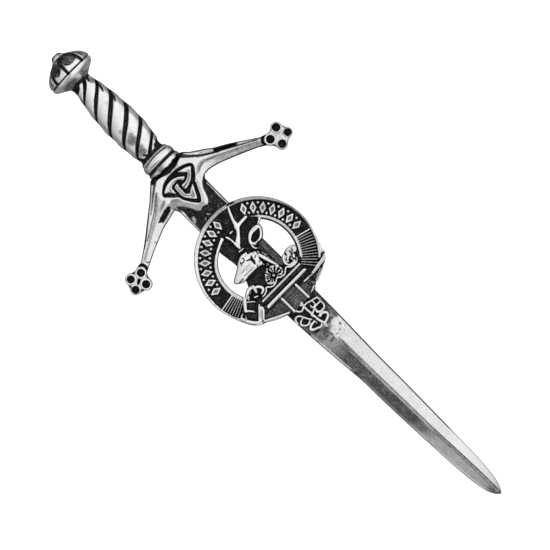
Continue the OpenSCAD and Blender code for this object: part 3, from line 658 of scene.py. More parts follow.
# End of the nub, and the bright face of its low button
NUB_END = 0.88
NUB_FACE = [(0.5, 0.6), (0.78, 0.5), (0.72, 0.1), (0.8, -0.5), (0.62, -0.68), (0.32, -0.1)]
# Station of the rim between petals and bowl
RIM_X = 4
print("marks on the pommel:", len(POMMEL_AREAS) + len(POMMEL_LINES))

# %% [markdown]
# The order matters: wide soft tones first, then the seams, and the thin lines of wear last, since each layer
# covers part of the one before.

# %% Pommel
def pommel():
    """Shapes the petals, rim and bowl, and blackens the seams."""
    land = half_round(*POMMEL_GRID)
    swell(land, profile(land["x"], POMMEL + RIM + BOWL))
    x, y = land["x"], land["y"]
    paint_areas(land, POMMEL_AREAS, rounded=True)
    for path in SEAMS:
        distance = stroke(x, y, curve(path))
        land["z"] = land["z"] - SEAM_DEPTH * cover(distance, 0.14)
        paint(land, distance, 1.0, 0.1)
    # The seams run together in front of the nub, and the petals' steep outer edge is painted dark as shade
    paint(land, disc(x, y, (1.25, 0.6), 0.35), 0.97, 0.2)
    paint(land, np.maximum(land["edge"] - 0.15, x - RIM_X), 0.8, 0.08)
    paint(land, x - NUB_END, 0.35, 0.1)
    paint(land, area(x, y, NUB_FACE), 0.0, 0.08)
    paint_lines(land, POMMEL_LINES)
    skin("pommel", land)


pommel()

# %% [markdown]
# ### Grip
# The grip is a bar of four strands twisted together. Twisting a real bar never gives perfectly even turns,
# so the grooves are placed by the stations where they cross the crest, and the stations between are filled
# in evenly.

# %% Grip
# Columns: x, radius
GRIP = [(6.2, 1.88), (7.0, 2.03), (8.0, 2.2), (10, 2.58), (12, 2.86), (15, 3.1), (17, 3.1), (19, 3.0),
        (21, 2.74), (22.3, 2.45), (23.2, 2.3), (23.6, 2.35)]
# Where the grooves cross the crest
GROOVE_CROSSINGS = [3.9, 7.31, 9.98, 13.38, 16.94, 20.03, 22.85, 25.5]
# Half the width of a groove as a share of a strand, at the start of the grip and further on
GROOVE_SHARES = [(8, 0.116), (13, 0.128), (18, 0.126), (20, 0.114)]
GROOVE_DEPTH = 0.42
STRAND_CROWN = 0.03
GRIP_GRID = (6.2, 23.7, 0.075, 131, 0.03)
# Lines of painted shade along the grip's lower edge. Columns: y as a share of the radius, half width, stain
EDGE_SHADE_LINES = [(-0.8, 0.012, 0.4), (-0.88, 0.012, 0.4)]
# Soft marks on the strands. Columns: x, y, radius, stain
STRAND_MARKS = [(19.4, -0.85, 0.85, 0.45), (18.6, -0.4, 0.45, 0.4), (21.9, -1.0, 0.7, 0.45),
                (21.2, -0.6, 0.4, 0.4), (7.4, 1.45, 0.36, 0.5), (17.0, -1.2, 0.35, 0.28),
                (12.2, 0.6, 0.5, 0.12), (14.6, -1.6, 0.4, 0.2)]
# Mouths of the grooves, where they open out. Columns: x, y, width
GROOVE_MOUTHS = [
    [(6.4, 1.35, 0.5), (7.1, 1.2, 0.35)],
    [(8.7, 1.95, 0.3), (9.5, 1.8, 0.4), (10.1, 1.6, 0.2)],
    [(11.6, 2.35, 0.3), (12.2, 2.15, 0.36), (12.7, 1.85, 0.2)],
    [(22.5, -1.3, 0.3), (22.9, -0.9, 0.4)],
]
# Black that gathers at both ends of the grip. Columns: stain, softness, then points of x, y
GRIP_ENDS = [
    (0.90, 0.12, [(21.9, 2.2), (22.2, 1.8), (22.4, 1.2), (22.75, 0.9), (23.2, 0.6), (23.2, 2.2)]),
    (1.00, 0.12, [(6.0, -0.3), (6.9, -0.75), (7.3, -1.3), (7.4, -1.8), (6.0, -2.0)]),
    (1.00, 0.15, [(22.1, 2.5), (22.6, 1.6), (23.0, 0.9), (23.0, 0.2), (24, 0.2), (24, 2.5)]),
    (1.00, 0.12, [(23.0, 0.4), (22.9, -1.6), (22.3, -2.2), (23.3, -2.6), (24, -2), (24, 0.4)]),
]


def grip():
    """Twists the strands, then stains their grooves and ends, and paints shade along their steep edges."""
    land = half_round(*GRIP_GRID)
    x, turn = land["x"], land["turn"]
    quarter = math.pi / 2
    count = np.interp(x, GROOVE_CROSSINGS, range(len(GROOVE_CROSSINGS))) - (turn - quarter) / quarter
    off = np.abs(count - np.round(count))
    half_width = np.interp(x, *np.array(GROOVE_SHARES).T)
    groove = smooth(half_width * 1.5, half_width * 0.5, off)
    # Each strand is a low crown between its two grooves
    crowned = profile(x, GRIP) * (1 - STRAND_CROWN * (off < 0.5) * smooth(0.5, 0.1, off))
    swell(land, crowned - GROOVE_DEPTH * groove * smooth(0, 0.5, np.sin(turn)))
    y = land["y"]
    edge = y / profile(x, GRIP)
    # Painted shade: a duller strip along both steep edges, with fine lines in it
    paint(land, 0.72 - edge, 0.2, 0.06)
    paint(land, band(edge, 0.74, 0.015), 0.36, 0.02)
    paint(land, edge + 0.76, 0.1, 0.04)
    # Painted shade along the silhouette, darker near the pommel
    paint(land, np.maximum(land["edge"] - 0.12, x - 9.5), 0.75, 0.06)
    paint(land, land["edge"] - 0.08, 0.55, 0.05)
    for level, half, stain_and_shade in EDGE_SHADE_LINES:
        paint(land, band(edge, level, half), stain_and_shade, 0.02)
    for cx, cy, radius, stain_and_shade in STRAND_MARKS:
        paint(land, disc(x, y, (cx, cy), radius), stain_and_shade, 0.35)
    # The grooves widen towards the upper edge
    paint(land, (off - half_width - 0.045 * smooth(0.5, 0.9, edge)) * 3.2, 1.0, 0.1)
    for path in GROOVE_MOUTHS:
        paint(land, stroke(x, y, path), 0.92, 0.08)
    paint_areas(land, GRIP_ENDS, rounded=True)
    skin("grip", land)


grip()

# %% [markdown]
# ### Collars
# Between grip and guard sit a thin bead, a fat ring and a second ring, parted by blackened grooves. A lathe
# would cut all of them from one bar, and so does the profile here: one table of radii holds them together.

# %% Collars
# Columns: x, radius
COLLARS = [(22.9, 2.28), (23.3, 2.35), (23.5, 2.55), (23.75, 2.76), (23.95, 2.76), (24.1, 2.9), (24.5, 3.08),
           (24.9, 3.13), (25.12, 3.12), (25.3, 3.02), (25.6, 3.04), (25.75, 3.17), (26.05, 3.24),
           (26.4, 3.22), (26.75, 3.05), (27.0, 2.8), (27.6, 2.8)]
COLLAR_GRID = (22.9, 27.6, 0.05, 131, 0.06)
# Stations of the black end of the grip, the bead, the line in front of it, the groove between the rings,
# the line on the second ring and the black edge towards the guard
GRIP_END, BEAD, BEAD_LINE, RING_GROOVE, RING_LINE, GUARD_EDGE = 23.75, 23.68, 23.9, 25.45, 25.92, 26.33
# How far black bulges at the crest, and how far to each side it does so
CREST_BULGE, CREST_REACH = 0.35, 3.0
# How much bead and line bend forward towards the sides, for each square millimetre of y
BEAD_BOW = 0.06
# A rubbed line on the fat ring. Columns: x, y, width
RING_MARK = [(24.95, -0.2, 0.14), (24.9, -1.0, 0.2), (24.9, -2.0, 0.14)]


def collars():
    """Shapes bead and rings, blackens the grooves between them and paints shade on their steep sides."""
    land = half_round(*COLLAR_GRID)
    swell(land, profile(land["x"], COLLARS))
    x, y = land["x"], land["y"]
    bulge = CREST_BULGE * (1 - (y / CREST_REACH) ** 2)
    paint(land, x - GRIP_END + bulge * 0.6, 1.0, 0.12)
    paint(land, band(x, BEAD + BEAD_BOW * y**2, 0.12), 0.3, 0.06)
    paint(land, np.maximum(band(x, BEAD_LINE + BEAD_BOW * y**2, 0.09), band(y, -0.1, 2.4)), 0.92, 0.06)
    # The steep sides of the rings are painted duller than their crest as shade, with a darker shade line at
    # the silhouette
    paint(land, -band(y, -0.1, 2.55), 0.32, 0.2)
    paint(land, land["edge"] - 0.08, 0.5, 0.05)
    paint(land, stroke(x, y, curve(RING_MARK)), 0.5, 0.1)
    paint(land, band(x, RING_GROOVE - 0.02 * y + 0.015 * y**2, 0.28), 1.0, 0.09)
    paint(land, disc(x, y, (26.1, -1.0), 0.6), 0.45, 0.4)
    paint(land, band(x, RING_LINE, 0.03 - 0.02 * y), 0.35, 0.05)
    ragged = 0.06 * np.sin(3.1 * y) + 0.04 * np.sin(7.3 * y)
    paint(land, GUARD_EDGE + 0.7 * bulge - x + ragged, 1.0, 0.09)
    skin("collars", land)


collars()

# %% [markdown]
# ## The guard
# The guard is a flat-backed relief: a shield in the middle, two long arms and a four-lobed terminal at each
# end. It could be cut from solid blocks, but its edges are worn and its two arms are stained in different
# ways, so it is drawn on a land, one form after another, just as an engraver works from the large forms to
# the small ones.

# %% Guard arms
# Heights above the flat back
SHIELD_TOP = 3.25
PANEL_FLOOR = 2.45
LOBE_TOP = 2.2
# Height of an arm. Columns: distance from the middle line, height of the ridge
ARM_HEIGHTS = [(4.5, 3.25), (7.0, 2.6), (14.0, 1.95)]
# Softness of the step at an arm's outline, and how far outside the outline it lies
ARM_SOFT, ARM_MARGIN = 0.05, 0.14
# Edges and ridge of each arm. Columns: distance from the middle line, x of the hilt side, of the ridge and
# of the blade side
UPPER_ARM = [(2.6, 26.2, 28.4, 32.3), (3.6, 26.7, 28.8, 31.9), (4.5, 27.6, 29.3, 31.87),
             (5.4, 28.2, 29.75, 32.0), (6.6, 29.0, 30.3, 32.35), (7.9, 30.0, 31.05, 32.85),
             (10.0, 31.2, 32.15, 33.75), (11.5, 32.2, 32.95, 34.42), (13.1, 33.3, 33.85, 35.15),
             (14.6, 34.3, 34.75, 36.1), (15.6, 34.6, 35.3, 36.9)]
LOWER_ARM = [(2.6, 26.2, 28.6, 32.9), (3.6, 26.4, 29.0, 32.45), (4.6, 27.3, 29.7, 32.68),
             (6.2, 28.7, 30.9, 33.06), (7.9, 30.0, 31.9, 33.45), (9.4, 31.15, 32.75, 34.08),
             (10.8, 32.25, 33.45, 34.62), (12.6, 33.55, 34.35, 35.45), (14.4, 34.75, 35.3, 36.3),
             (15.6, 34.9, 35.7, 37.0)]


def arm(land, table, side, steep):
    """Raises one arm: a ridge between two slopes, with a raised strip along its hilt side."""
    x, y = land["x"], land["y"] * side
    rows = np.array(table)
    outer, ridge, inner = (np.interp(y, rows[:, 0], rows[:, k]) for k in (1, 2, 3))
    outline = np.vstack([rows[:, [1, 0]], rows[::-1][:, [3, 0]]]) * [1, side]
    distance = area(land["x"], land["y"], outline) - 0.06
    top = np.interp(y, *np.array(ARM_HEIGHTS).T)
    hilt_side = np.clip((ridge - x) / np.maximum(ridge - outer, 0.3), 0, 1)
    blade_side = np.clip((x - ridge - 0.15) / np.maximum(inner - ridge, 0.3), 0, 1)
    fall = 0.42 * np.minimum(hilt_side / 0.5, 1) + 0.2 * smooth(0.75, 1.0, hilt_side) + 0.4 * blade_side
    fall = (fall - 0.16 * smooth(0.52, 0.72, hilt_side)) * smooth(3.5, 6.5, y) * steep
    lay(land, distance - ARM_MARGIN, top * (1 - fall * 0.62), 0.04, ARM_SOFT)
    return distance, blade_side


def paint_edge_shade(land, distance, width=0.16, stain_and_shade=0.5):
    """Paints shade on a narrow strip just inside the edge of a form, where a steep edge turns grey."""
    paint(land, band(distance, -width / 2, width / 2), stain_and_shade, 0.04)


print("the upper arm reaches", UPPER_ARM[-1][0], "mm from the middle line")

# %% [markdown]
# Each terminal is four drilled lobes round a lower web. The upper and the lower one are turned differently,
# and the lower one has a small open pit in its middle, so both are made by one function from a short table.

# %% Terminals
# Columns: x, y, radius of the lobe, radius of its hole
UPPER_LOBES = [(35.0, 17.6, 1.0, 0.66), (36.95, 18.38, 0.88, 0.6), (37.65, 16.35, 1.02, 0.66),
               (35.72, 15.5, 1.1, 0.66)]
LOWER_LOBES = [(35.95, -15.68, 1.05, 0.62), (37.9, -16.42, 1.1, 0.62), (37.3, -18.32, 0.95, 0.6),
               (35.5, -17.65, 1.0, 0.6)]
TERMINAL_MIDDLE_RADIUS = 1.45
LOBE_MELT = 0.85
LOBE_DROP = 0.22


def terminal(land, lobes):
    """Raises the lobes of one terminal and drills them. Returns the distance to its outline."""
    x, y = land["x"], land["y"]
    distance = disc(x, y, np.mean([row[:2] for row in lobes], axis=0), TERMINAL_MIDDLE_RADIUS)
    for cx, cy, radius, hole in lobes:
        distance = melt(distance, disc(x, y, (cx, cy), radius), LOBE_MELT)
    lay(land, distance, LOBE_TOP * 0.9, 0.05, 0.12)
    for cx, cy, radius, hole in lobes:
        lobe = disc(x, y, (cx, cy), radius)
        rim = radius - hole
        off = np.abs(np.hypot(x - cx, y - cy) - hole - rim * 0.45) / (rim * 0.7)
        lay(land, lobe, LOBE_TOP - LOBE_DROP * np.clip(off, 0, 1.3) ** 2, 0.03, 0.06)
    for cx, cy, radius, hole in lobes:
        lay(land, disc(x, y, (cx, cy), hole - 0.03), LOBE_TOP * 0.5, 1.0, 0.1)
        paint(land, band(np.hypot(x - cx, y - cy), radius - 0.16, 0.02), 0.16, 0.06)
    return distance


print("drilled lobes:", len(UPPER_LOBES) + len(LOWER_LOBES))

# %% [markdown]
# ### The shield and its knot
# A sunk, blackened panel fills the shield, and a triangular knot of three ribbons stands in it. A knot of
# this kind is an old pattern. Each ribbon is an outline filled at one height, with grooves carved along it.

# %% Shield
# Outlines of the shield, its panel and the three ribbons of the knot. Columns: x, y
SHIELD = [(26.75, 3.3), (27.6, 4.2), (28.3, 4.6), (30.0, 4.75), (31.3, 4.4), (31.9, 3.75), (32.2, 3.0),
          (32.75, 2.48), (33.5, 1.95), (34.5, 1.58), (35.35, 1.25), (35.85, 0.85), (36.05, 0.25),
          (35.72, -0.45), (36.05, -1.15), (35.6, -1.7), (34.5, -2.2), (33.5, -2.75), (32.7, -3.35),
          (32.4, -4.0), (31.6, -4.4), (30.2, -4.6), (28.7, -4.5), (27.5, -4.1), (26.75, -3.3),
          (26.9, -1.6), (27.35, 0.0), (27.15, 1.6)]
PANEL = [(27.98, 0.1), (28.1, 1.1), (28.35, 2.1), (28.85, 3.05), (29.35, 3.38), (30.0, 3.1), (31.0, 2.3),
         (31.6, 1.62), (32.0, 1.52), (32.9, 1.08), (33.9, 0.58), (34.5, 0.12), (34.72, -0.25),
         (34.3, -0.72), (33.5, -1.38), (32.5, -1.92), (31.7, -2.22), (31.0, -2.9), (30.3, -3.45),
         (29.85, -3.88), (29.3, -3.7), (28.7, -3.0), (28.2, -2.1), (28.0, -1.0)]
LEFT_RIBBON = [(29.37, 2.97), (28.95, 2.35), (28.68, 1.6), (28.55, 0.95), (28.46, 0.42), (28.72, 0.85),
               (29.1, 1.2), (29.42, 1.52), (29.7, 1.78), (30.0, 1.5), (30.35, 0.95), (30.52, 0.3),
               (30.55, -0.42), (31.42, -0.4), (31.38, 0.3), (31.15, 1.0), (30.75, 1.65), (30.2, 2.25),
               (29.75, 2.65)]
LOWER_RIBBON = [(29.86, 1.02), (29.4, 0.55), (29.0, 0.0), (28.72, -0.8), (28.68, -1.7), (28.88, -2.55),
                (29.2, -3.15), (29.48, -3.42), (29.95, -2.9), (30.4, -2.45), (30.9, -2.1), (30.3, -1.95),
                (29.85, -1.95), (29.58, -1.7), (29.45, -1.1), (29.42, -0.5), (29.62, -0.08), (30.05, 0.25),
                (30.12, 0.55)]
RIGHT_RIBBON = [(31.62, 1.08), (32.3, 0.85), (33.0, 0.45), (33.65, 0.12), (33.97, -0.22), (33.6, -0.6),
                (33.05, -1.0), (32.5, -1.45), (31.9, -1.66), (31.0, -1.66), (30.3, -1.6), (29.88, -1.42),
                (29.8, -0.68), (30.4, -0.88), (31.3, -0.93), (31.95, -0.9), (32.3, -0.62), (32.42, -0.35),
                (32.2, -0.05), (31.95, 0.3), (31.82, 0.7)]
RIBBONS = [LEFT_RIBBON, LOWER_RIBBON, RIGHT_RIBBON]
# Fine grooves in the ribbons. Columns: depth, stain, then points of x, y, width
GROOVES = [
    (0.16, 0.62, [(29.6, 2.22, 0.12), (30.12, 1.82, 0.2), (30.6, 1.2, 0.2), (30.92, 0.5, 0.2),
                  (31.02, -0.4, 0.22)]),
    (0.12, 0.58, [(30.0, -1.22, 0.14), (30.9, -1.3, 0.18), (31.8, -1.3, 0.18), (32.45, -1.0, 0.16),
                  (32.8, -0.6, 0.14)]),
    (0.10, 0.32, [(29.95, 0.45, 0.3), (29.45, -0.2, 0.24), (29.2, -1.1, 0.26), (29.35, -1.9, 0.26),
                  (29.7, -2.4, 0.24)]),
    (0.10, 0.40, [(29.85, -2.35, 0.3), (30.1, -2.55, 0.3), (29.75, -2.95, 0.22)]),
    (0.10, 0.42, [(32.35, 0.32, 0.12), (32.8, 0.0, 0.34), (33.3, -0.25, 0.3), (33.0, -0.55, 0.3),
                  (32.75, -0.2, 0.3)]),
    (0.04, 0.20, [(29.3, 2.2, 0.2), (29.45, 1.8, 0.22)]),
]
# The lower half of the frame with its blunt tip is duller than the upper half, and so is a patch above the
# panel. Columns: stain, softness, then points of x, y
SHIELD_AREAS = [
    (0.33, 0.10, [(31.5, -2.3), (33.4, -1.5), (34.75, -0.4), (34.95, 0.3), (36.2, 0.15), (36.2, -1.5),
                  (34, -2.9), (32.4, -4.4), (31.2, -4.4), (31.2, -3.2)]),
    (0.20, 0.12, [(27.5, 1.8), (28.1, 1.5), (28.1, -1.2), (27.5, -1.2)]),
]
# Dull marks on the frame. Columns: stain, softness, then points of x, y, width
SHIELD_LINES = [
    (0.42, 0.25, [(32.2, -4.0, 0.7), (31.5, -3.4, 0.8), (31.7, -2.9, 0.6)]),
    (0.30, 0.16, [(30.15, 5.2, 0.3), (30.2, 4.3, 0.5), (30.55, 3.5, 0.45), (31.0, 2.95, 0.3)]),
    (0.42, 0.16, [(30.4, -4.4, 0.4), (30.6, -5.0, 0.55), (31.0, -5.9, 0.3)]),
]
# A thin carved line runs beside the panel on its upper side, and a raised one on its lower side
CARVED_LINE = [(31.5, 1.95, 0.1), (32.3, 1.72, 0.14), (33.3, 1.2, 0.14), (34.4, 0.66, 0.14),
               (34.9, 0.3, 0.12)]
RAISED_LINE = [(30.2, -3.75, 0.2), (30.9, -3.12, 0.22), (31.65, -2.3, 0.22), (32.4, -2.1, 0.22),
               (33.3, -1.58, 0.22), (34.1, -1.1, 0.2), (34.72, -0.6, 0.16)]


def shield(land):
    """Raises the shield, sinks its panel and lays the knot."""
    x, y = land["x"], land["y"]
    outline = area(x, y, SHIELD)
    land["z"] = land["z"] + (SHIELD_TOP - land["z"]) * smooth(0.15, -0.2, outline)
    paint(land, outline, 0.05, 0.12)
    paint_areas(land, SHIELD_AREAS)
    paint_lines(land, SHIELD_LINES)
    carve(land, CARVED_LINE, 0.08, 0.3)
    lay(land, area(x, y, curve(PANEL, True)), PANEL_FLOOR, 1.0, 0.1)
    draw(land, RAISED_LINE, SHIELD_TOP + 0.03, 0.0)
    for ribbon in RIBBONS:
        distance = area(x, y, curve(ribbon, True)) - 0.04
        lay(land, distance, crown(distance, 0.8, SHIELD_TOP - 0.05, 0.2), 0.04, 0.08)
    for depth, stain_and_shade, path in GROOVES:
        carve(land, path, depth, stain_and_shade, soft=0.08)


print("the knot has", len(RIBBONS), "ribbons")

# %% [markdown]
# ### Stains and painted shade of the two arms
# Worn castings are never even. The upper arm kept a black patch on its hilt side, and the lower arm is black
# along its outer half. Beyond their ridges the upper arm is grey, painted as shade on a slope that faces
# away from the light, and the lower arm is bright. These marks are drawn from tables.

# %% Arm marks
# Lines along the arms. Columns: stain, softness, then points of x, y, width
ARM_LINES = [
    (0.80, 0.10, [(26.9, 3.0, 0.8), (27.6, 3.55, 0.6), (28.4, 4.35, 0.44), (29.2, 5.3, 0.38),
                  (30.1, 6.6, 0.36), (30.95, 8.0, 0.36)]),
    (0.82, 0.06, [(26.3, 3.2, 0.5), (27.1, 3.95, 0.32), (27.9, 4.9, 0.24), (29.05, 6.6, 0.16),
                  (30.0, 8.0, 0.16)]),
    (0.72, 0.08, [(30.9, 8.0, 0.3), (32.0, 9.95, 0.26), (33.0, 11.7, 0.22), (34.15, 13.8, 0.2)]),
    (0.60, 0.05, [(32.2, 11.45, 0.16), (33.3, 13.1, 0.2), (34.25, 14.5, 0.3)]),
    (0.48, 0.10, [(31.0, 3.25, 0.2), (30.55, 4.1, 0.4), (30.4, 5.0, 0.42), (30.8, 6.2, 0.34),
                  (31.6, 7.9, 0.26), (32.8, 10.5, 0.22), (34.5, 13.8, 0.2)]),
    (0.60, 0.06, [(31.9, 4.0, 0.14), (31.98, 5.2, 0.14), (32.6, 7.2, 0.14), (33.6, 9.9, 0.16),
                  (34.9, 12.7, 0.16), (35.9, 14.4, 0.16)]),
    (0.10, 0.06, [(31.3, 4.4, 0.2), (31.35, 5.6, 0.16), (31.9, 7.4, 0.12), (33.0, 9.8, 0.12),
                  (34.6, 13.2, 0.1)]),
    (0.42, 0.05, [(31.6, 6.6, 0.08), (32.3, 8.5, 0.1), (33.4, 10.9, 0.1), (34.9, 13.7, 0.1)]),
    (0.75, 0.09, [(26.95, -3.2, 0.6), (27.6, -4.0, 0.36), (28.3, -4.9, 0.26), (29.1, -5.9, 0.18),
                  (30.4, -7.6, 0.12)]),
    (0.48, 0.07, [(28.5, -4.3, 0.3), (29.4, -5.5, 0.3), (30.6, -7.1, 0.22), (31.3, -8.3, 0.24),
                  (32.3, -9.9, 0.24), (33.0, -11.2, 0.2)]),
    (0.34, 0.08, [(29.2, -4.9, 0.2), (30.3, -6.2, 0.22), (31.4, -7.7, 0.2), (32.3, -9.2, 0.18),
                  (33.4, -11.0, 0.16), (34.9, -13.7, 0.14)]),
    (0.20, 0.07, [(31.0, -5.6, 0.14), (31.6, -7.2, 0.16), (32.2, -8.6, 0.16), (33.6, -11.1, 0.14),
                  (35.2, -13.7, 0.16)]),
    (0.72, 0.06, [(26.9, -3.95, 0.14), (28.4, -5.8, 0.1), (30.4, -8.3, 0.18), (32.2, -10.6, 0.28),
                  (33.5, -12.4, 0.28)]),
    (0.90, 0.09, [(31.4, -9.85, 0.3), (32.35, -11.25, 0.5), (33.4, -12.85, 0.66), (34.45, -14.4, 0.6)]),
    (0.30, 0.05, [(32.75, -6.0, 0.08), (33.35, -7.8, 0.1), (34.1, -9.7, 0.1), (34.8, -11.3, 0.1),
                  (35.8, -13.5, 0.1)]),
    (0.90, 0.05, [(33.95, -10.3, 0.14), (34.2, -10.28, 0.12), (34.42, -10.1, 0.1)]),
    (0.80, 0.07, [(35.25, -13.75, 0.16), (35.6, -13.6, 0.18), (35.62, -13.35, 0.1)]),
]
# Patches of the black bath. Columns: stain, softness, then points of x, y
ARM_PATCHES = [
    (1.00, 0.08, [(29.95, 7.95), (30.9, 9.6), (32.15, 11.4), (32.3, 10.9), (31.75, 9.5), (31.0, 8.1),
                  (30.6, 7.4), (30.1, 7.55)]),
    (1.00, 0.07, [(31.35, -4.5), (31.85, -4.3), (32.25, -4.9), (32.55, -6.0), (32.8, -7.1), (32.45, -7.2),
                  (32.2, -7.75), (31.8, -6.8), (31.42, -5.5)]),
]
# Dark crescents where an arm meets its terminal. Columns: x, y, width
CRESCENTS = [
    [(34.5, 15.3, 0.34), (34.72, 14.62, 0.38), (35.25, 14.22, 0.34), (35.95, 14.28, 0.32)],
    [(34.85, -15.1, 0.3), (35.12, -14.6, 0.36), (35.65, -14.35, 0.34), (36.3, -14.5, 0.26)],
]
# Dark notches round the terminals. Columns: x, y, width
NOTCHES = [
    [(35.75, 18.62, 0.18), (36.1, 18.62, 0.14)],
    [(36.75, 15.2, 0.16), (37.3, 15.28, 0.14)],
    [(34.5, 16.3, 0.16), (34.62, 15.9, 0.14)],
    [(37.15, -15.2, 0.3), (37.35, -15.45, 0.14)],
    [(35.05, -16.45, 0.26), (35.2, -16.55, 0.16)],
    [(36.25, -18.55, 0.2), (36.6, -18.6, 0.12)],
    [(38.2, -17.4, 0.22), (38.1, -17.75, 0.22)],
]
# Black corner pieces between the blade and the arms, standing for the shadow in each junction: their black is
# painted shadow. Columns: x, y
SHADOW_CORNERS = [[(31.8, 4.1), (32.05, 3.6), (32.5, 3.2), (33.1, 2.95), (33.2, 2.4), (32.0, 2.6)],
           [(32.45, -4.8), (32.75, -4.2), (33.2, -3.95), (33.9, -3.8), (33.9, -3.3), (32.3, -3.6)]]
CORNER_TOP = 1.3
EDGE_DROP, EDGE_WIDTH = 0.3, 0.22
# The pit in the lower terminal, and the ragged black groove between collars and shield. Columns: x, y, width
PIT = [(36.55, -16.75, 0.32), (36.72, -16.98, 0.34), (36.85, -17.25, 0.22)]
COLLAR_GROOVE = [(26.25, 3.5, 0.9), (26.62, 2.8, 0.8), (26.84, 2.0, 0.78), (27.06, 1.1, 0.9),
                 (27.1, 0.2, 0.95), (27.2, -0.45, 0.76), (26.98, -1.0, 0.88), (26.84, -1.6, 0.76),
                 (26.72, -2.5, 0.62), (26.72, -3.5, 0.7)]
GROOVE_FLOOR = 2.3
print("marks on the arms:", len(ARM_LINES) + len(ARM_PATCHES))

# %% [markdown]
# The guard is now put together: arms, corners, shield, stains and terminals, each over the one before.
# Every step also widens the outline, and the last step cuts the land along it.

# %% Guard
# The lower arm is flatter than the upper one
UPPER_STEEPNESS, LOWER_STEEPNESS = 1.0, 0.4


def guard():
    """Builds the guard from its forms, one over another."""
    land = new_land((26.2, 39.2), (-19.5, 19.5), CELL, 0.6, 0.05)
    x, y = land["x"], land["y"]
    upper, upper_blade = arm(land, UPPER_ARM, 1, UPPER_STEEPNESS)
    lower, _ = arm(land, LOWER_ARM, -1, LOWER_STEEPNESS)
    # Beyond its ridge the upper arm's slope faces away from the light, so it is painted grey as shade,
    # lighter towards the shield
    grey = 0.16 + 0.2 * smooth(4.5, 8, y) - 0.08 * upper_blade
    beyond = (upper < 0) * smooth(0.0, 0.2, upper_blade) * smooth(4.2, 5.4, y)
    land["stain_and_shade"] = land["stain_and_shade"] + (grey - land["stain_and_shade"]) * beyond
    outline = np.minimum.reduce([upper, lower, area(x, y, SHIELD)])
    # The corners between arms and blade are filled with black pieces of painted shadow
    for points in SHADOW_CORNERS:
        corner = area(x, y, points)
        lay(land, np.maximum(corner, -outline), CORNER_TOP, 1.0, 0.06)
        outline = np.minimum(outline, corner)
    # Painted shade along the steep outer edges of both arms
    paint_edge_shade(land, upper, 0.2, 0.62)
    paint_edge_shade(land, lower)
    shield(land)
    paint_lines(land, ARM_LINES)
    paint_areas(land, ARM_PATCHES)
    for lobes in (UPPER_LOBES, LOWER_LOBES):
        outline = np.minimum(outline, terminal(land, lobes))
    for path in CRESCENTS:
        carve(land, path, 0.5, 1.0)
    for path in NOTCHES:
        carve(land, path, 0.25, 0.85, soft=0.07)
    carve(land, PIT, 1.0, 1.0)
    # The middle of the upper terminal is a little dull
    paint(land, disc(x, y, (36.1, 17.1), 0.5), 0.2, 0.5)
    lay(land, stroke(x, y, curve(COLLAR_GROOVE)), GROOVE_FLOOR, 1.0, 0.1)
    drop_edge(land, outline, EDGE_DROP, EDGE_WIDTH)
    cast("guard", land, outline)


guard()

# %% [markdown]
# ## The blade
# Behind the badge the blade is a flat, blackened seat. Beyond it, the blade is ground to two slopes with a
# narrow flat ridge between them. Its columns of points follow the edges and the ridge, so each ground line
# stays crisp from end to end, which a square grid could not promise on a slanting line.

# %% Blade shape
# Lines along the blade. Columns: x, y of the upper edge, y of the ridge, y of the lower edge
BLADE = [(31.0, 3.1, 0, -3.75), (38, 3.0, 0, -3.8), (42.5, 2.88, -0.1, -3.93), (45, 2.78, -0.15, -3.68),
         (47, 2.7, -0.2, -3.5), (58, 2.7, -0.25, -3.45), (60, 2.7, -0.25, -3.42), (65, 2.62, -0.27, -3.2),
         (70, 2.45, -0.27, -2.88), (75, 2.3, -0.25, -2.5), (80, 2.25, -0.17, -2.45),
         (85, 2.16, -0.12, -2.32), (90, 2.06, -0.05, -2.14), (95, 1.95, 0.1, -1.95),
         (99, 1.78, 0.2, -1.68), (101, 1.6, 0.22, -1.45), (102.3, 1.42, 0.22, -1.2),
         (103.3, 1.15, 0.2, -0.92), (104.1, 0.86, 0.18, -0.52), (104.6, 0.62, 0.2, -0.2),
         (104.9, 0.44, 0.22, 0.06), (105.0, 0.34, 0.22, 0.12)]
# Heights above the flat back
SEAT_TOP, RIDGE_TOP, EDGE_TOP, BEVEL_TOP = 1.3, 2.0, 0.75, 0.85
RIDGE_HALF = 0.2
BEVEL_WIDTH = 0.16
SEAT_END = 64.8
SEAT_EDGE_DROP = 0.5
# Points across each slope, steps along the blade, and where the finer steps of the point start
SLOPE_POINTS = 27
BLADE_STEP, POINT_START, POINT_STEP = 0.11, 103.9, 0.05


def across(x, column):
    """A line along the blade, smooth through its table."""
    rows = np.array(BLADE)
    line = curve(rows[:, [0, column]], step=0.2)
    return np.interp(x, line[:, 0], line[:, 1])


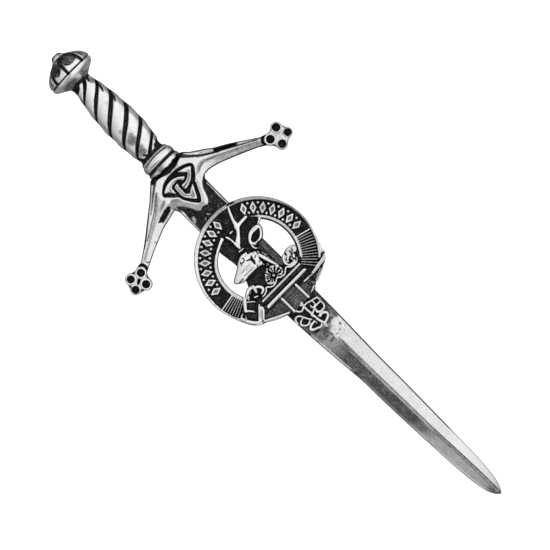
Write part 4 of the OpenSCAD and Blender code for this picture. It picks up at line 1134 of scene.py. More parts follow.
def blade_shape():
    """The blade's land, with its height, and the lines of its edges and ridge."""
    stations = np.concatenate([np.arange(BLADE[0][0], POINT_START, BLADE_STEP),
                               np.arange(POINT_START, SWORD_LENGTH, POINT_STEP), [SWORD_LENGTH]])
    # Shares 0 to 1 run down the upper slope, 1 to 2 over the flat ridge, 2 to 3 down the lower slope
    slope_share = np.linspace(0.04, 0.96, SLOPE_POINTS)
    share = np.concatenate([[0, 0, 0], slope_share, [1, 1.25, 1.5, 1.75, 2], 2 + slope_share, [3, 3, 3]])
    x, share = np.meshgrid(stations, share, indexing="ij")
    high, middle, low = (across(x, column) for column in (1, 2, 3))
    wider = 0.1 * smooth(105, 104.6, x)
    high, low = high + wider, low - wider
    flat = np.minimum(RIDGE_HALF, 0.3 * np.minimum(high - middle, middle - low))
    y = np.select([share <= 1, share <= 2],
                  [high + (middle + flat - high) * share, middle + flat * (3 - 2 * share)],
                  middle - flat + (low - middle + flat) * (share - 2))
    slope = np.minimum(1, np.minimum(share, 3 - share))
    ridge_rise = (RIDGE_TOP - BEVEL_TOP) * np.sqrt(np.clip((high - low) / 5.4, 0, 1))
    ground = BEVEL_TOP + ridge_rise * slope
    from_edge = np.minimum(high - y, y - low)
    bevel = EDGE_TOP + (ground - EDGE_TOP) * from_edge / BEVEL_WIDTH
    ground = np.where(from_edge < BEVEL_WIDTH, bevel, ground)
    thin = np.minimum(1, (high - low) / 1.3)
    seat = SEAT_TOP - SEAT_EDGE_DROP * smooth(0.18, 0.0, from_edge)
    polished = smooth(SEAT_END - 0.6, SEAT_END + 0.9, x)
    z = seat + (ground * thin - seat) * polished
    z[:, [0, -1]] = 0
    z[:, [1, -2]] *= 1 - BELOW_RIM
    return {"x": x, "y": y, "z": z}, high, low, middle, flat


print("the blade is", BLADE[5][1] - BLADE[5][3], "mm wide behind the badge")

# %% [markdown]
# The blade's tones come in three layers: the slopes, with painted shade on the lower one, and the ridge, the
# marks of the polish, and the black seat with its ragged front. Each mark is a short line or patch in a
# table, read from the worn metal.

# %% Blade marks
# Worn marks on the seat; the first, black one, in the corner by the upper arm, is painted shadow. Columns:
# stain, softness, then points of x, y, width
SEAT_MARKS = [
    (1.00, 0.10, [(31.9, 3.6, 0.4), (32.3, 3.1, 0.5), (33.0, 2.6, 0.4)]),
    (0.02, 0.06, [(33.2, 2.84, 0.2), (34.8, 2.86, 0.18), (36.0, 2.8, 0.24), (38.4, 2.82, 0.16)]),
    (0.55, 0.10, [(35.3, 1.85, 0.2), (35.45, 1.7, 0.22)]),
    (0.30, 0.10, [(35.75, -2.95, 0.5), (36.2, -3.1, 0.62), (36.5, -3.35, 0.34)]),
    (0.02, 0.10, [(33.2, -3.72, 0.26), (34.0, -3.55, 0.4), (34.9, -3.62, 0.3), (36.2, -3.68, 0.26),
                  (38.5, -3.72, 0.22)]),
    (0.25, 0.07, [(36.95, -0.85, 0.26), (37.3, -0.5, 0.2)]),
    (0.35, 0.07, [(37.25, -1.45, 0.22), (37.5, -1.85, 0.2)]),
    (0.50, 0.08, [(36.75, -0.2, 0.14), (36.95, 0.3, 0.14)]),
    (0.52, 0.08, [(37.15, 1.8, 0.16), (37.55, 1.1, 0.16), (37.75, 0.6, 0.14)]),
    (0.55, 0.08, [(37.35, 2.3, 0.2), (37.6, 1.9, 0.16)]),
    (0.66, 0.10, [(46.5, 2.2, 0.9), (49.0, 2.2, 0.95), (52.3, 2.15, 0.9)]),
    (0.82, 0.20, [(42.7, 2.4, 0.4), (43.4, 1.8, 0.4)]),
]
# Marks where seat and polish meet, and on the polished part. Columns as above
POLISH_MARKS = [
    (0.46, 0.12, [(64.6, -2.3, 0.5), (65.2, -1.6, 0.7), (65.3, -0.8, 0.6), (66.0, -0.5, 0.4)]),
    (0.85, 0.05, [(66.3, 1.15, 0.1), (66.4, 0.85, 0.12)]),
    (0.95, 0.06, [(65.5, 1.78, 0.2), (65.8, 1.68, 0.26)]),
    (0.60, 0.08, [(64.1, 0.9, 0.3), (64.4, 0.6, 0.3)]),
    (0.16, 0.15, [(64.7, 0.9, 0.5), (65.3, 0.5, 0.6), (65.9, 0.3, 0.4)]),
    (0.35, 0.05, [(66.4, 2.1, 0.12), (66.55, 1.9, 0.12)]),
    (0.30, 0.05, [(66.9, 1.5, 0.12), (67.05, 1.3, 0.12)]),
    (0.50, 0.06, [(66.6, 0.35, 0.1), (66.5, 0.05, 0.14)]),
    (0.40, 0.08, [(67.2, -0.3, 0.2), (67.9, -0.35, 0.2)]),
    (0.75, 0.07, [(66.5, -0.7, 0.14), (66.7, -1.3, 0.2), (66.6, -1.7, 0.14)]),
    (0.20, 0.10, [(66.1, -0.8, 0.2), (66.2, -1.4, 0.22)]),
    (0.30, 0.10, [(67.1, -0.7, 0.2), (67.2, -1.5, 0.3), (67.0, -2.1, 0.3)]),
    (0.70, 0.05, [(90.4, -0.15, 0.1), (90.6, -0.25, 0.14)]),
    (0.70, 0.05, [(90.9, 0.0, 0.1), (90.95, -0.2, 0.1)]),
]
# Dull patches in front of the seat, where the bath was only half polished away. Columns: stain, softness,
# then points of x, y
HALF_POLISHED = [
    (0.74, 0.20, [(58.5, 2.8), (64.0, 2.7), (64.5, 2.0), (61.9, 1.95), (58.5, 2.3)]),
    (0.60, 0.15, [(62.0, 2.7), (64.6, 2.7), (64.5, 2.0), (62.3, 2.1)]),
    (0.66, 0.25, [(62.2, 2.0), (64.2, 1.9), (64.3, 0.3), (63.8, 0.2), (62.9, 1.6), (62.1, 1.0)]),
    (0.36, 0.15, [(63.3, 1.9), (63.9, 1.9), (63.9, 1.3), (63.5, 1.4)]),
    (0.62, 0.25, [(61.0, -3.5), (62.0, -2.7), (62.4, -2.6), (64.0, -2.4), (64.0, -0.9), (64.5, -0.5),
                  (65.0, -3.3)]),
    (0.50, 0.25, [(64.0, -2.6), (64.4, -0.8), (65.8, -0.5), (65.8, -2.7)]),
    (0.30, 0.12, [(63.6, -2.9), (65.6, -2.7), (65.6, -3.25), (63.6, -3.25)]),
]
# Where the ridge's lines start
RIDGE_START = 67
# From here on the blade is bright again, up to its point
BRIGHT_START = 90
# Bright bevels along the lower edge, painted as highlights. Columns: start, end
BEVEL_HIGHLIGHTS = [(65.0, 72.5), (91.9, 103)]


def blade():
    """Stains the blade, and paints shade and highlights on it, from its slopes to its seat."""
    land, high, low, middle, flat = blade_shape()
    x, y = land["x"], land["y"]
    land["stain_and_shade"] = 0.06 + 0.04 * smooth(82, 68, x) - 0.06 * smooth(91, 94, x)
    # Below the ridge the slope faces away from the light, so it is painted darker as shade, more so in its
    # first half
    above = y - middle - flat
    below = middle - flat - y
    lower_slope_shade = 0.56 - 0.4 * smooth(85.5, 91, x + 0.8 * np.sin(2.2 * y)) - 0.28 * smooth(71.5, 66.5, x)
    lower_slope_shade = lower_slope_shade - 0.26 * smooth(0.55, 0.2, y - low) * smooth(91, 88, x) * smooth(73, 76, x)
    lower_slope_shade = lower_slope_shade + 0.25 * smooth(102.1, 103.6, x - 0.6 * y)
    land["stain_and_shade"] = land["stain_and_shade"] + (lower_slope_shade - land["stain_and_shade"]) * cover(-below, 0.04)
    # The ridge is a light strip between two dark lines, which start where the polish is even
    strip = np.maximum(np.maximum(above, below) + 0.02, RIDGE_START + 0.5 - x)
    paint(land, strip, 0.52 - 0.2 * smooth(70, 76, x) + 0.08 * smooth(87, BRIGHT_START, x), 0.05)
    for line, middle_off, half, start, stain_and_shade in ((above, 0.02, 0.08, RIDGE_START, 0.58),
                                                 (above, 0.03, 0.09, BRIGHT_START - 0.5, 0.68),
                                                 (below, 0.0, 0.05, BRIGHT_START - 0.5, 0.6)):
        paint(land, np.maximum(band(line, middle_off, half), start - x), stain_and_shade, 0.05)
    # Painted shade as a dark line along the steep upper edge and along the lower one, and painted highlights
    # as bright bevels along parts of the lower edge
    fading = smooth(BRIGHT_START, BRIGHT_START + 2, x)
    paint(land, np.maximum(high - y - 0.21, x - BRIGHT_START - 2), 0.9 - 0.75 * fading, 0.05)
    paint(land, np.maximum(high - y - 0.06, BRIGHT_START + 1 - x), 0.15, 0.05)
    for start, end in BEVEL_HIGHLIGHTS:
        ends = np.maximum(start - x, x - end) * 0.06
        paint(land, np.maximum(ends, band(y - low, 0.24, 0.18)), 0.0, 0.05)
    paint(land, np.maximum(y - low - 0.12, 60 - x), 0.6 - 0.45 * fading, 0.05)
    paint_lines(land, POLISH_MARKS)
    # The seat is black up to a ragged front, which lies further on below the ridge
    front = 63.6 - 0.35 * y + 0.4 * np.sin(2.7 * y + 0.6) + 0.25 * np.sin(7.3 * y)
    paint(land, x - front, 0.89, 0.4)
    paint_areas(land, HALF_POLISHED)
    paint_lines(land, SEAT_MARKS)
    # The worn upper edge of the seat stands as a fine line
    edge_line = stroke(x, y, curve(SEAT_MARKS[1][2]))
    land["z"][:, 2:-2] += (SEAT_TOP + 0.12 - land["z"][:, 2:-2]) * cover(edge_line[:, 2:-2], 0.06)
    land["stain_and_shade"][:, [1, -2]] = BACK_STAIN
    skin("blade", land)


blade()

# %% [markdown]
# ## The strap badge
# The badge is a second casting: a leather strap bent into a ring, with a sunk black field between two rims.
# The field carries a plain ornament of lozenges and pellets, with fine ribs beside the buckle. The strap
# folds over at its upper right and is buckled at its lower right, and a stag's head rises inside it from a
# coronet. The ring could be cut from cylinders, but its rims are worn unevenly. A distance from the middle
# and an angle can say how wide a rim is at every place, so the ring is drawn with those.

# %% Badge ring
RING_OUT, RING_IN = 10.64, 6.8
RIM_WIDTH, BORE_RIM_WIDTH = 0.55, 0.65
FIELD_TOP, RIM_TOP = 0.9, 1.6
RIM_SOFT, ORNAMENT_SOFT = 0.08, 0.07
# Degrees between the points of an arc, and how far a line along it falls to its edges
ARC_STEP = 4
ARC_DROP = 0.12
FIELD_MIDDLE = (RING_OUT - RIM_WIDTH + RING_IN + BORE_RIM_WIDTH) / 2
FIELD_HALF = (RING_OUT - RIM_WIDTH - RING_IN - BORE_RIM_WIDTH) / 2


def spot(middle, radius, turn):
    """The point at a distance from a middle, in a direction."""
    return middle[0] + radius * math.cos(turn), middle[1] + radius * math.sin(turn)


def arc(radius, start, end, width):
    """Points along an arc round the badge's middle, from one angle to another in degrees."""
    turns = np.radians(np.linspace(start, end, max(2, int(abs(end - start) / ARC_STEP) + 1)))
    return [(*spot(BADGE, radius, turn), width) for turn in turns]


def arc_line(land, radius, start, end, width, top, stain_and_shade):
    """A raised line along an arc."""
    path = np.array(arc(radius, start, end, width))
    distance = stroke(land["x"], land["y"], path) - SPREAD
    lay(land, distance, crown(distance, width, top, ARC_DROP), stain_and_shade, ORNAMENT_SOFT)


def lozenge(x, y, turn, radius, half_long, half_wide):
    """Distance to the edge of a lozenge that points away from the badge's middle."""
    away = (x - BADGE[0]) * math.cos(turn) + (y - BADGE[1]) * math.sin(turn) - radius
    side = -(x - BADGE[0]) * math.sin(turn) + (y - BADGE[1]) * math.cos(turn)
    reach = math.hypot(1 / half_long, 1 / half_wide)
    return (np.abs(away) / half_long + np.abs(side) / half_wide - 1) / reach


def bead(land, middle, radius, top, drop=0.3, stain_and_shade=0.0):
    """Lays a low dome on a round spot. Returns the distance to its edge."""
    distance = disc(land["x"], land["y"], middle, radius)
    lay(land, distance, crown(distance, 2 * radius, top, drop), stain_and_shade, 0.06)
    return distance


def around(x, y):
    """Distance from the badge's middle, and the angle round it in degrees."""
    return np.hypot(x - BADGE[0], y - BADGE[1]), np.degrees(np.arctan2(y - BADGE[1], x - BADGE[0])) % 360


print("the field of the ring is", round(2 * FIELD_HALF, 2), "mm wide")

# %% [markdown]
# ### Rims of the ring
# Both rims are worn unevenly, so their widths and tones stand in tables, row by row round the ring.

# %% Ring rims
# Inner rim of the ring along its lower half. Columns: angle in degrees, inner radius, outer radius, stain
INNER_RIM = [(192, 6.46, 7.25, 0.05), (197, 6.46, 7.08, 0.03), (205, 6.46, 7.0, 0.03),
             (215, 6.52, 7.05, 0.03), (228, 6.65, 7.25, 0.08), (240, 6.74, 7.4, 0.12),
             (297, 6.74, 7.42, 0.12)]
# Outer rim of the ring. Columns: angle in degrees, inner radius, stain
OUTER_RIM = [(46, 10.2, 0.1), (70, 10.24, 0.22), (90, 10.28, 0.4), (105, 10.23, 0.4), (120, 10.1, 0.31),
             (148, 9.98, 0.31), (165, 9.92, 0.31), (185, 9.87, 0.31), (205, 9.85, 0.08), (235, 9.92, 0.03),
             (255, 10.1, 0.03), (280, 10.22, 0.03), (301, 10.25, 0.03)]
# Outline of the strap on its right side, where it leaves the ring. Columns: x, y
STRAP_SIDE = [(52.5, 9.3), (54.75, 8.62), (55.6, 8.42), (56.35, 7.75), (56.78, 6.95), (57.5, 5.7),
              (57.86, 4.6), (58.1, 3.6), (58.85, 2.7), (58.95, 1.4), (58.95, -2.5), (58.6, -2.9),
              (58.2, -4.0), (57.55, -5.3), (56.85, -6.7), (56.6, -7.4), (56.3, -8.05), (55.7, -8.72),
              (54.65, -9.4), (53.25, -10.0), (51.55, -10.54), (51.0, -8.0), (50.95, -6.7), (51.6, -6.3),
              (53.0, -5.2), (53.2, 4.2), (53.4, 5.2)]
# Where the leather is paler. Columns: start and end in x, then in y
PALE_LEATHER = [(55.8, 58.9, -6.8, -2.4), (56.5, 58.8, 1.3, 6.2), (55.6, 58.9, -2.0, 0.9)]
# Scratches across the strap, by their x
SCRATCHES = [56.15, 56.75, 57.2, 57.6, 58.0, 58.3]
SCRATCH_WIDTH = 0.12
# Along the top: radius up to which the edge of the bore is painted grey as shadow, and radius of the light
# band's middle
BORE_SHADE_EDGE, LIGHT_BAND = 7.02, 7.32
# A black nick in the outer rim. Columns: x, y, width
RIM_NICK = [(38.75, 3.6, 0.3), (38.4, 3.0, 0.4), (38.35, 2.4, 0.2)]
# Where the inner rim runs light along the top, with a point at its lower end. Columns: x, y, width
RIM_POINT = [(44.0, 5.48, 0.42), (43.4, 5.02, 0.36), (42.9, 4.52, 0.22), (42.45, 4.03, 0.14)]


def round_ring(turn, table):
    """Values at each angle, from a table with the angle as its first column."""
    angles, *columns = np.array(table).T
    return [np.interp(turn, angles, column) for column in columns]


def leather(land):
    """Stains the leather, which is not quite even."""
    x, y = land["x"], land["y"]
    land["stain_and_shade"] = 0.93 + 0.07 * np.sin(2.3 * x) * np.sin(3.1 * y)
    for x0, x1, y0, y1 in PALE_LEATHER:
        paint(land, np.maximum(np.maximum(x0 - x, x - x1), np.maximum(y0 - y, y - y1)), 0.7, 0.25)
    for k, at in enumerate(SCRATCHES):
        scratch = [(at, 0.4 - 0.2 * (k % 3), SCRATCH_WIDTH), (at - 0.05, -1.5 + 0.3 * (k % 2), SCRATCH_WIDTH)]
        paint(land, stroke(x, y, scratch), 0.5, 0.08)


def ring_rims(land):
    """Raises both rims. Returns the distance to the outline of ring and strap."""
    x, y = land["x"], land["y"]
    away, turn = around(x, y)
    inner, outer, low_stain = round_ring(turn, INNER_RIM)
    bore = RING_IN + (inner - 0.04 - RING_IN) * smooth(150, 190, turn) * smooth(301, 297, turn)
    outline = np.minimum(np.maximum(away - RING_OUT, bore - away), area(x, y, STRAP_SIDE))
    rim_edge, rim_stain = round_ring(turn, OUTER_RIM)
    on_ring = np.maximum(OUTER_RIM[0][0] - turn, turn - OUTER_RIM[-1][0])
    rim = np.maximum(np.maximum(rim_edge - away, away - RING_OUT - 0.1), on_ring)
    lay(land, rim, RIM_TOP, rim_stain, RIM_SOFT)
    # A grey line of painted shade along the steep outer edge of the rim
    paint(land, np.maximum(RING_OUT - 0.06 - away, on_ring), 0.5, 0.05)
    paint(land, stroke(x, y, RIM_NICK), 0.95, 0.08)
    # Along the top, the inner rim is a light band that leaves a grey edge to the bore, a painted shadow
    paint(land, np.maximum(away - BORE_SHADE_EDGE, np.maximum(45 - turn, turn - 130)), 0.6, 0.06)
    arc_line(land, LIGHT_BAND, 50, 128, 0.44, RIM_TOP, 0.02)
    draw(land, RIM_POINT, RIM_TOP, 0.08)
    arc_line(land, LIGHT_BAND + 0.01, 60, 124, 0.04, RIM_TOP - 0.03, 0.25)
    low_rim = np.maximum(np.maximum(inner - away, away - outer), np.maximum(192.5 - turn, turn - 297) / 8)
    lay(land, low_rim, RIM_TOP, low_stain, RIM_SOFT)
    return outline


print("the outer rim is described at", len(OUTER_RIM), "angles")

# %% [markdown]
# ### Ornament of the ring
# Lozenges with pellets between them fill the field, and fine ribs stand on both sides of the buckle. All of
# them are placed by angles round the badge's middle, so two short loops make them.

# %% Ring ornament
# Columns: number of lozenges, angle of the first one, angle of the last one
LOZENGES = [(7, 86, 150), (8, 184, 262)]
LOZENGE_TOP, LOZENGE_FLOOR = RIM_TOP - 0.1, RIM_TOP - 0.3
LOZENGE_FRAME = 0.34
# Places of two pellets between lozenges, as shares of the field
PELLET_SHIFTS = (-0.62, 0.62)
PELLET_RADIUS = 0.3
# Columns: number of ribs, angle of the first one, angle of the last one. The first one is stronger
RIBS = [(13, 74.8, 38.9), (7, 279.5, 295.8)]
RIB_REACH = (RING_IN + BORE_RIM_WIDTH * 0.9, RING_OUT - RIM_WIDTH)


def lozenges(land):
    """Lays lozenges with a sunk middle, and pellets between them."""
    for count, start, end in LOZENGES:
        pitch = math.radians((end - start) / (count - 1))
        half_wide = FIELD_MIDDLE * math.sin(pitch) * 0.4
        for k in range(count):
            turn = math.radians(start) + pitch * k
            distance = lozenge(land["x"], land["y"], turn, FIELD_MIDDLE, FIELD_HALF * 0.92, half_wide)
            lay(land, distance, LOZENGE_TOP, 0.06 + 0.05 * math.sin(5 * k), ORNAMENT_SOFT)
            lay(land, distance + LOZENGE_FRAME, LOZENGE_FLOOR, 0.5, ORNAMENT_SOFT)
            if k < count - 1:
                for shift in PELLET_SHIFTS:
                    middle = spot(BADGE, FIELD_MIDDLE + FIELD_HALF * shift, turn + pitch / 2)
                    bead(land, middle, PELLET_RADIUS, LOZENGE_TOP, 0.2, 0.05)


def ribs(land):
    """Lays fine ribs across the field."""
    for count, start, end in RIBS:
        for k in range(count):
            turn = math.radians(start + (end - start) * k / (count - 1))
            width, stain_and_shade = (0.26, 0.12) if k else (0.34, 0.0)
            rib = [(*spot(BADGE, radius, turn), width) for radius in RIB_REACH]
            distance = stroke(land["x"], land["y"], rib)
            lay(land, distance, crown(distance, 0.22, RIM_TOP, 0.1), stain_and_shade, ORNAMENT_SOFT)


print("lozenges:", sum(row[0] for row in LOZENGES), "ribs:", sum(row[0] for row in RIBS))

# %% [markdown]
# ### Fold, hem and buckle
# These are all lines with a round crown, each with its own height, so that one seems to pass over another.

# %% Strap ring
# Lines of the fold, the hem and the buckle. Columns: height, stain, then points of x, y, width
STRAP_LINES = [
    (1.60, 0.05, [(50.6, 10.0, 0.2), (52.4, 9.45, 0.3), (53.6, 9.0, 0.4), (54.4, 8.5, 0.5),
                  (55.0, 7.95, 0.36)]),
    (1.75, 0.03, [(54.6, 8.7, 0.24), (54.95, 8.5, 0.3), (55.1, 8.2, 0.3)]),
    (1.85, 0.02, [(55.75, 8.2, 0.5), (55.9, 7.6, 0.4), (56.0, 6.9, 0.36), (56.15, 6.0, 0.34),
                  (56.3, 5.1, 0.32), (56.38, 4.5, 0.3)]),
    (1.75, 0.14, [(56.15, 7.9, 0.4), (56.3, 7.0, 0.3), (56.45, 6.0, 0.24), (56.58, 4.9, 0.24),
                  (56.5, 3.7, 0.36), (56.45, 2.5, 0.34)]),
    (1.55, 0.42, [(56.55, 4.2, 0.08), (56.45, 3.9, 0.1), (56.6, 3.6, 0.08)]),
    (1.60, 0.05, [(56.8, 6.9, 0.3), (57.2, 6.1, 0.38), (57.5, 5.35, 0.38), (57.75, 4.5, 0.34),
                  (58.0, 3.7, 0.3)]),
    (1.45, 0.20, [(56.8, 6.0, 0.18), (57.1, 5.3, 0.2), (57.35, 4.6, 0.2)]),
    (1.45, 0.30, [(57.15, 4.9, 0.16), (57.4, 4.6, 0.18), (57.65, 4.2, 0.18)]),
    (1.45, 0.36, [(57.1, 4.05, 0.12), (57.5, 4.0, 0.12), (57.8, 4.05, 0.12)]),
    (1.45, 0.28, [(57.15, 3.68, 0.12), (57.6, 3.62, 0.14), (57.95, 3.64, 0.14)]),
    (1.50, 0.22, [(57.3, 3.35, 0.14), (57.9, 3.32, 0.16), (58.3, 3.1, 0.14)]),
    (1.60, 0.02, [(58.1, 3.0, 0.24), (58.35, 2.6, 0.26), (58.55, 2.0, 0.18)]),
    (1.70, 0.02, [(58.3, -3.0, 0.34), (57.7, -4.3, 0.36), (57.1, -5.5, 0.36), (56.35, -6.9, 0.34)]),
    (1.60, 0.16, [(58.5, -3.5, 0.2), (57.75, -5.0, 0.24), (56.9, -6.7, 0.26)]),
    (1.95, 0.02, [(51.35, -6.55, 0.6), (52.2, -7.3, 0.6), (52.95, -7.95, 0.54)]),
    (1.80, 0.06, [(52.05, -6.75, 0.24), (52.5, -6.2, 0.26), (52.95, -5.7, 0.26)]),
    (2.00, 0.02, [(52.95, -7.95, 0.44), (53.3, -7.6, 0.4), (53.65, -7.25, 0.36), (54.05, -7.02, 0.3)]),
    (1.85, 0.03, [(53.85, -5.6, 0.34), (54.6, -6.35, 0.34), (55.2, -6.95, 0.36), (55.7, -7.4, 0.4)]),
    (1.80, 0.10, [(54.3, -5.75, 0.4), (54.9, -6.25, 0.46), (55.6, -6.95, 0.4)]),
    (1.85, 0.02, [(54.5, -5.55, 0.4), (55.0, -5.75, 0.42), (55.5, -6.25, 0.4), (56.05, -6.8, 0.36)]),
    (1.70, 0.34, [(54.75, -6.05, 0.1), (55.2, -6.4, 0.12), (55.75, -6.9, 0.1)]),
    (1.90, 0.03, [(55.8, -7.3, 0.6), (55.85, -7.8, 0.6), (55.3, -8.35, 0.62), (54.6, -8.85, 0.64),
                  (53.8, -9.2, 0.6), (53.3, -9.3, 0.4)]),
    (1.80, 0.06, [(53.4, -9.25, 0.3), (53.1, -9.0, 0.26), (52.95, -8.6, 0.22)]),
    (1.75, 0.10, [(56.3, -7.3, 0.3), (56.1, -8.1, 0.3), (55.4, -8.9, 0.28), (54.3, -9.45, 0.26),
                  (53.0, -9.9, 0.3), (51.6, -10.3, 0.3)]),
    (1.65, 0.38, [(55.8, -8.35, 0.06), (55.1, -8.95, 0.08), (54.1, -9.4, 0.08), (53.0, -9.85, 0.08),
                  (51.8, -10.2, 0.08)]),
    (1.65, 0.14, [(53.45, -8.35, 0.18), (53.7, -8.6, 0.2), (53.95, -8.85, 0.2)]),
]
# Bars of the strap beyond the coronet. Columns: y, start, end
STRAP_BARS = [(1.12, 55.8, 58.75), (-2.22, 55.8, 58.8)]
# Dark windows: two in the buckle's frame and one under the fold
BUCKLE_WINDOW = [(52.3, -6.9), (53.1, -5.6), (54.0, -5.9), (55.3, -7.5), (54.2, -8.75), (53.7, -8.0),
                 (53.0, -7.6)]
UPPER_WINDOW = [(53.2, -4.9), (54.8, -5.0), (55.8, -5.0), (55.6, -5.8), (54.4, -5.3), (53.4, -5.6)]
FOLD_WINDOW = [(55.55, 8.4, 0.2), (55.6, 7.4, 0.25), (55.75, 6.5, 0.2)]


def strap_ring():
    """Builds the ring from leather, rims, ornament, fold and buckle."""
    land = new_land((37.4, 59.3), (-11.3, 10.5), CELL, FIELD_TOP, 1.0)
    x, y = land["x"], land["y"]
    leather(land)
    outline = ring_rims(land)
    lozenges(land)
    ribs(land)
    lay(land, area(x, y, BUCKLE_WINDOW), FIELD_TOP, 0.87, 0.1)
    paint(land, area(x, y, UPPER_WINDOW), 0.78, 0.15)
    paint(land, stroke(x, y, FOLD_WINDOW), 1.0)
    for top, stain_and_shade, path in STRAP_LINES:
        draw(land, path, top, stain_and_shade)
    for level, start, end in STRAP_BARS:
        draw(land, [(start, level, 0.4), (start + 0.5, level, 0.5), (end, level + 0.03, 0.46)], RIM_TOP, 0.01)
        groove = [(start + 0.2, level - 0.04, 0.06), (end - 0.2, level - 0.06, 0.08)]
        carve(land, groove, 0.05, 0.45, soft=0.06)
    # The edge of the bore stays crisper than the outer one
    away, _ = around(x, y)
    drop_edge(land, outline, 0.08 + 0.12 * smooth(7.8, 8.2, away), 0.16)
    cast("strap_ring", land, outline, node_name="crest_badge")


strap_ring()

# %% [markdown]
# ## The coronet and the stag's head
# The head wears antlers that reach over the ring, with one ear standing as an open oval. A coronet of leaves
# between bars carries the neck. A head is usually sculpted. This one is so small that crowned lines and one
# dome already read as carved, so all of it is low relief, drawn line by line over a thin black web.

# %% Stag tables
# Thin black web that joins the parts. Columns: x, y
WEB = [(41.3, 4.1), (42.4, 4.25), (43.3, 4.85), (43.95, 4.75), (44.35, 4.1), (44.25, 2.9), (44.6, 1.6),
       (45.6, 0.8), (47.9, 0.9), (51.4, 1.5), (52.2, 1.9), (52.4, -2.7), (51.6, -3.2), (51.0, -3.9),
       (50.5, -4.75), (49.72, -4.42), (49.35, -4.2), (47.4, -3.5), (46.6, -3.4), (45.9, -2.6),
       (45.4, -1.9), (43.5, -1.7), (41.4, -2.0), (40.8, 2.0)]
# Web of the coronet, and the outline of the stag's head
CORONET = [(50.85, 5.6), (52.0, 5.3), (53.2, 4.75), (55.4, 4.5), (55.5, -5.1), (53.8, -5.3), (52.6, -6.2),
           (51.7, -6.7), (50.85, -5.9), (50.5, -4.6), (50.95, -3.75), (51.5, -3.05), (52.5, -2.6),
           (51.2, -1.75), (50.3, -0.85), (50.5, 0.2), (51.1, 1.4), (52.2, 1.95), (51.4, 2.35), (50.8, 3.0),
           (50.5, 4.2)]
HEAD = [(47.1, 0.42), (46.85, 0.05), (46.62, -0.4), (46.45, -0.85), (46.2, -0.74), (46.0, -0.78),
        (45.94, -1.2), (45.84, -1.7), (45.94, -2.3), (46.3, -3.1), (46.9, -3.9), (47.45, -4.8),
        (47.92, -5.62), (48.2, -5.93), (48.55, -5.95), (48.95, -5.58), (49.33, -4.9), (49.42, -4.4),
        (49.28, -3.6), (49.25, -1.6), (49.42, -0.8), (49.5, -0.3), (49.15, -0.02), (48.75, -0.12),
        (48.35, 0.05), (47.95, 0.2), (47.55, 0.35)]
# Lines of head, antlers and ear. Columns: height, stain, then points of x, y, width
STAG_LINES = [
    (1.75, 0.00, [(44.85, -1.1, 0.4), (44.45, -1.0, 0.6), (44.0, -0.68, 0.84), (43.5, -0.12, 0.74),
                  (43.0, 0.42, 0.6), (42.5, 0.84, 0.66), (42.0, 1.12, 0.7), (41.5, 1.26, 0.68),
                  (41.0, 1.36, 0.62), (40.5, 1.54, 0.66), (40.0, 1.76, 0.62), (39.5, 1.98, 0.6),
                  (39.0, 2.24, 0.56), (38.6, 2.46, 0.46)]),
    (1.75, 0.00, [(42.0, 1.1, 0.95), (41.97, 1.7, 0.64), (41.95, 2.4, 0.5), (41.93, 3.35, 0.48)]),
    (1.75, 0.00, [(44.4, -1.1, 0.5), (43.6, -1.14, 0.34), (43.0, -1.13, 0.28), (42.5, -1.22, 0.36),
                  (42.0, -1.4, 0.36)]),
    (1.65, 0.12, [(42.0, 0.02, 0.28), (42.0, -0.45, 0.36)]),
    (1.90, 0.00, [(45.28, -0.75, 0.22), (45.3, -1.1, 0.24), (45.2, -1.65, 0.24)]),
    (1.70, 0.62, [(45.7, -0.9, 0.14), (45.55, -1.3, 0.14), (45.65, -1.8, 0.12)]),
    (1.70, 0.02, [(43.2, 5.05, 0.46), (43.65, 4.85, 0.56), (43.95, 4.4, 0.38), (44.12, 4.0, 0.34)]),
    (1.80, 0.03, [(46.0, 0.62, 0.3), (46.5, 0.68, 0.34), (46.85, 0.85, 0.3), (47.05, 1.1, 0.2)]),
    (1.80, 0.05, [(46.25, 1.5, 0.18), (46.3, 1.25, 0.22), (46.2, 1.0, 0.2)]),
    (1.85, 0.01, [(47.95, 0.38, 0.5), (48.5, 0.5, 0.6), (49.2, 0.72, 0.62), (50.0, 0.94, 0.54),
                  (50.9, 1.22, 0.44), (51.35, 1.42, 0.3)]),
    (1.60, 0.40, [(46.9, 1.5, 0.2), (47.25, 1.25, 0.18), (47.6, 1.3, 0.18)]),
    (1.60, 0.35, [(46.85, 1.9, 0.16), (47.0, 1.7, 0.14)]),
    (1.60, 0.40, [(48.9, 1.6, 0.12), (49.3, 1.55, 0.14)]),
    (1.60, 0.40, [(49.9, 0.3, 0.2), (50.3, 0.3, 0.2)]),
    (1.85, 0.05, [(48.0, 0.95, 0.2), (48.35, 1.1, 0.24), (48.6, 1.05, 0.2), (48.95, 1.32, 0.2)]),
    (1.80, 0.08, [(49.25, 1.1, 0.2), (49.5, 1.3, 0.16)]),
    (1.75, 0.34, [(47.4, 0.62, 0.4), (47.65, 0.55, 0.4)]),
]
# Outline and hollow of the ear, and a seam in its broad side
EAR = [(44.3, 3.92), (44.9, 3.96), (45.5, 3.62), (46.08, 3.1), (46.36, 2.45), (46.28, 1.6), (46.05, 0.85),
       (45.62, 0.5), (45.1, 0.7), (44.5, 1.22), (44.1, 1.8), (43.93, 2.6), (43.97, 3.4)]
EAR_HOLLOW = [(44.76, 3.44), (45.02, 3.34), (45.55, 2.88), (45.9, 2.28), (45.93, 1.6), (45.7, 1.2),
              (45.28, 1.26), (44.92, 1.78), (44.72, 2.3), (44.76, 2.9)]
EAR_SEAM = [(44.25, 3.3, 0.1), (44.3, 2.8, 0.12), (44.32, 2.3, 0.1)]
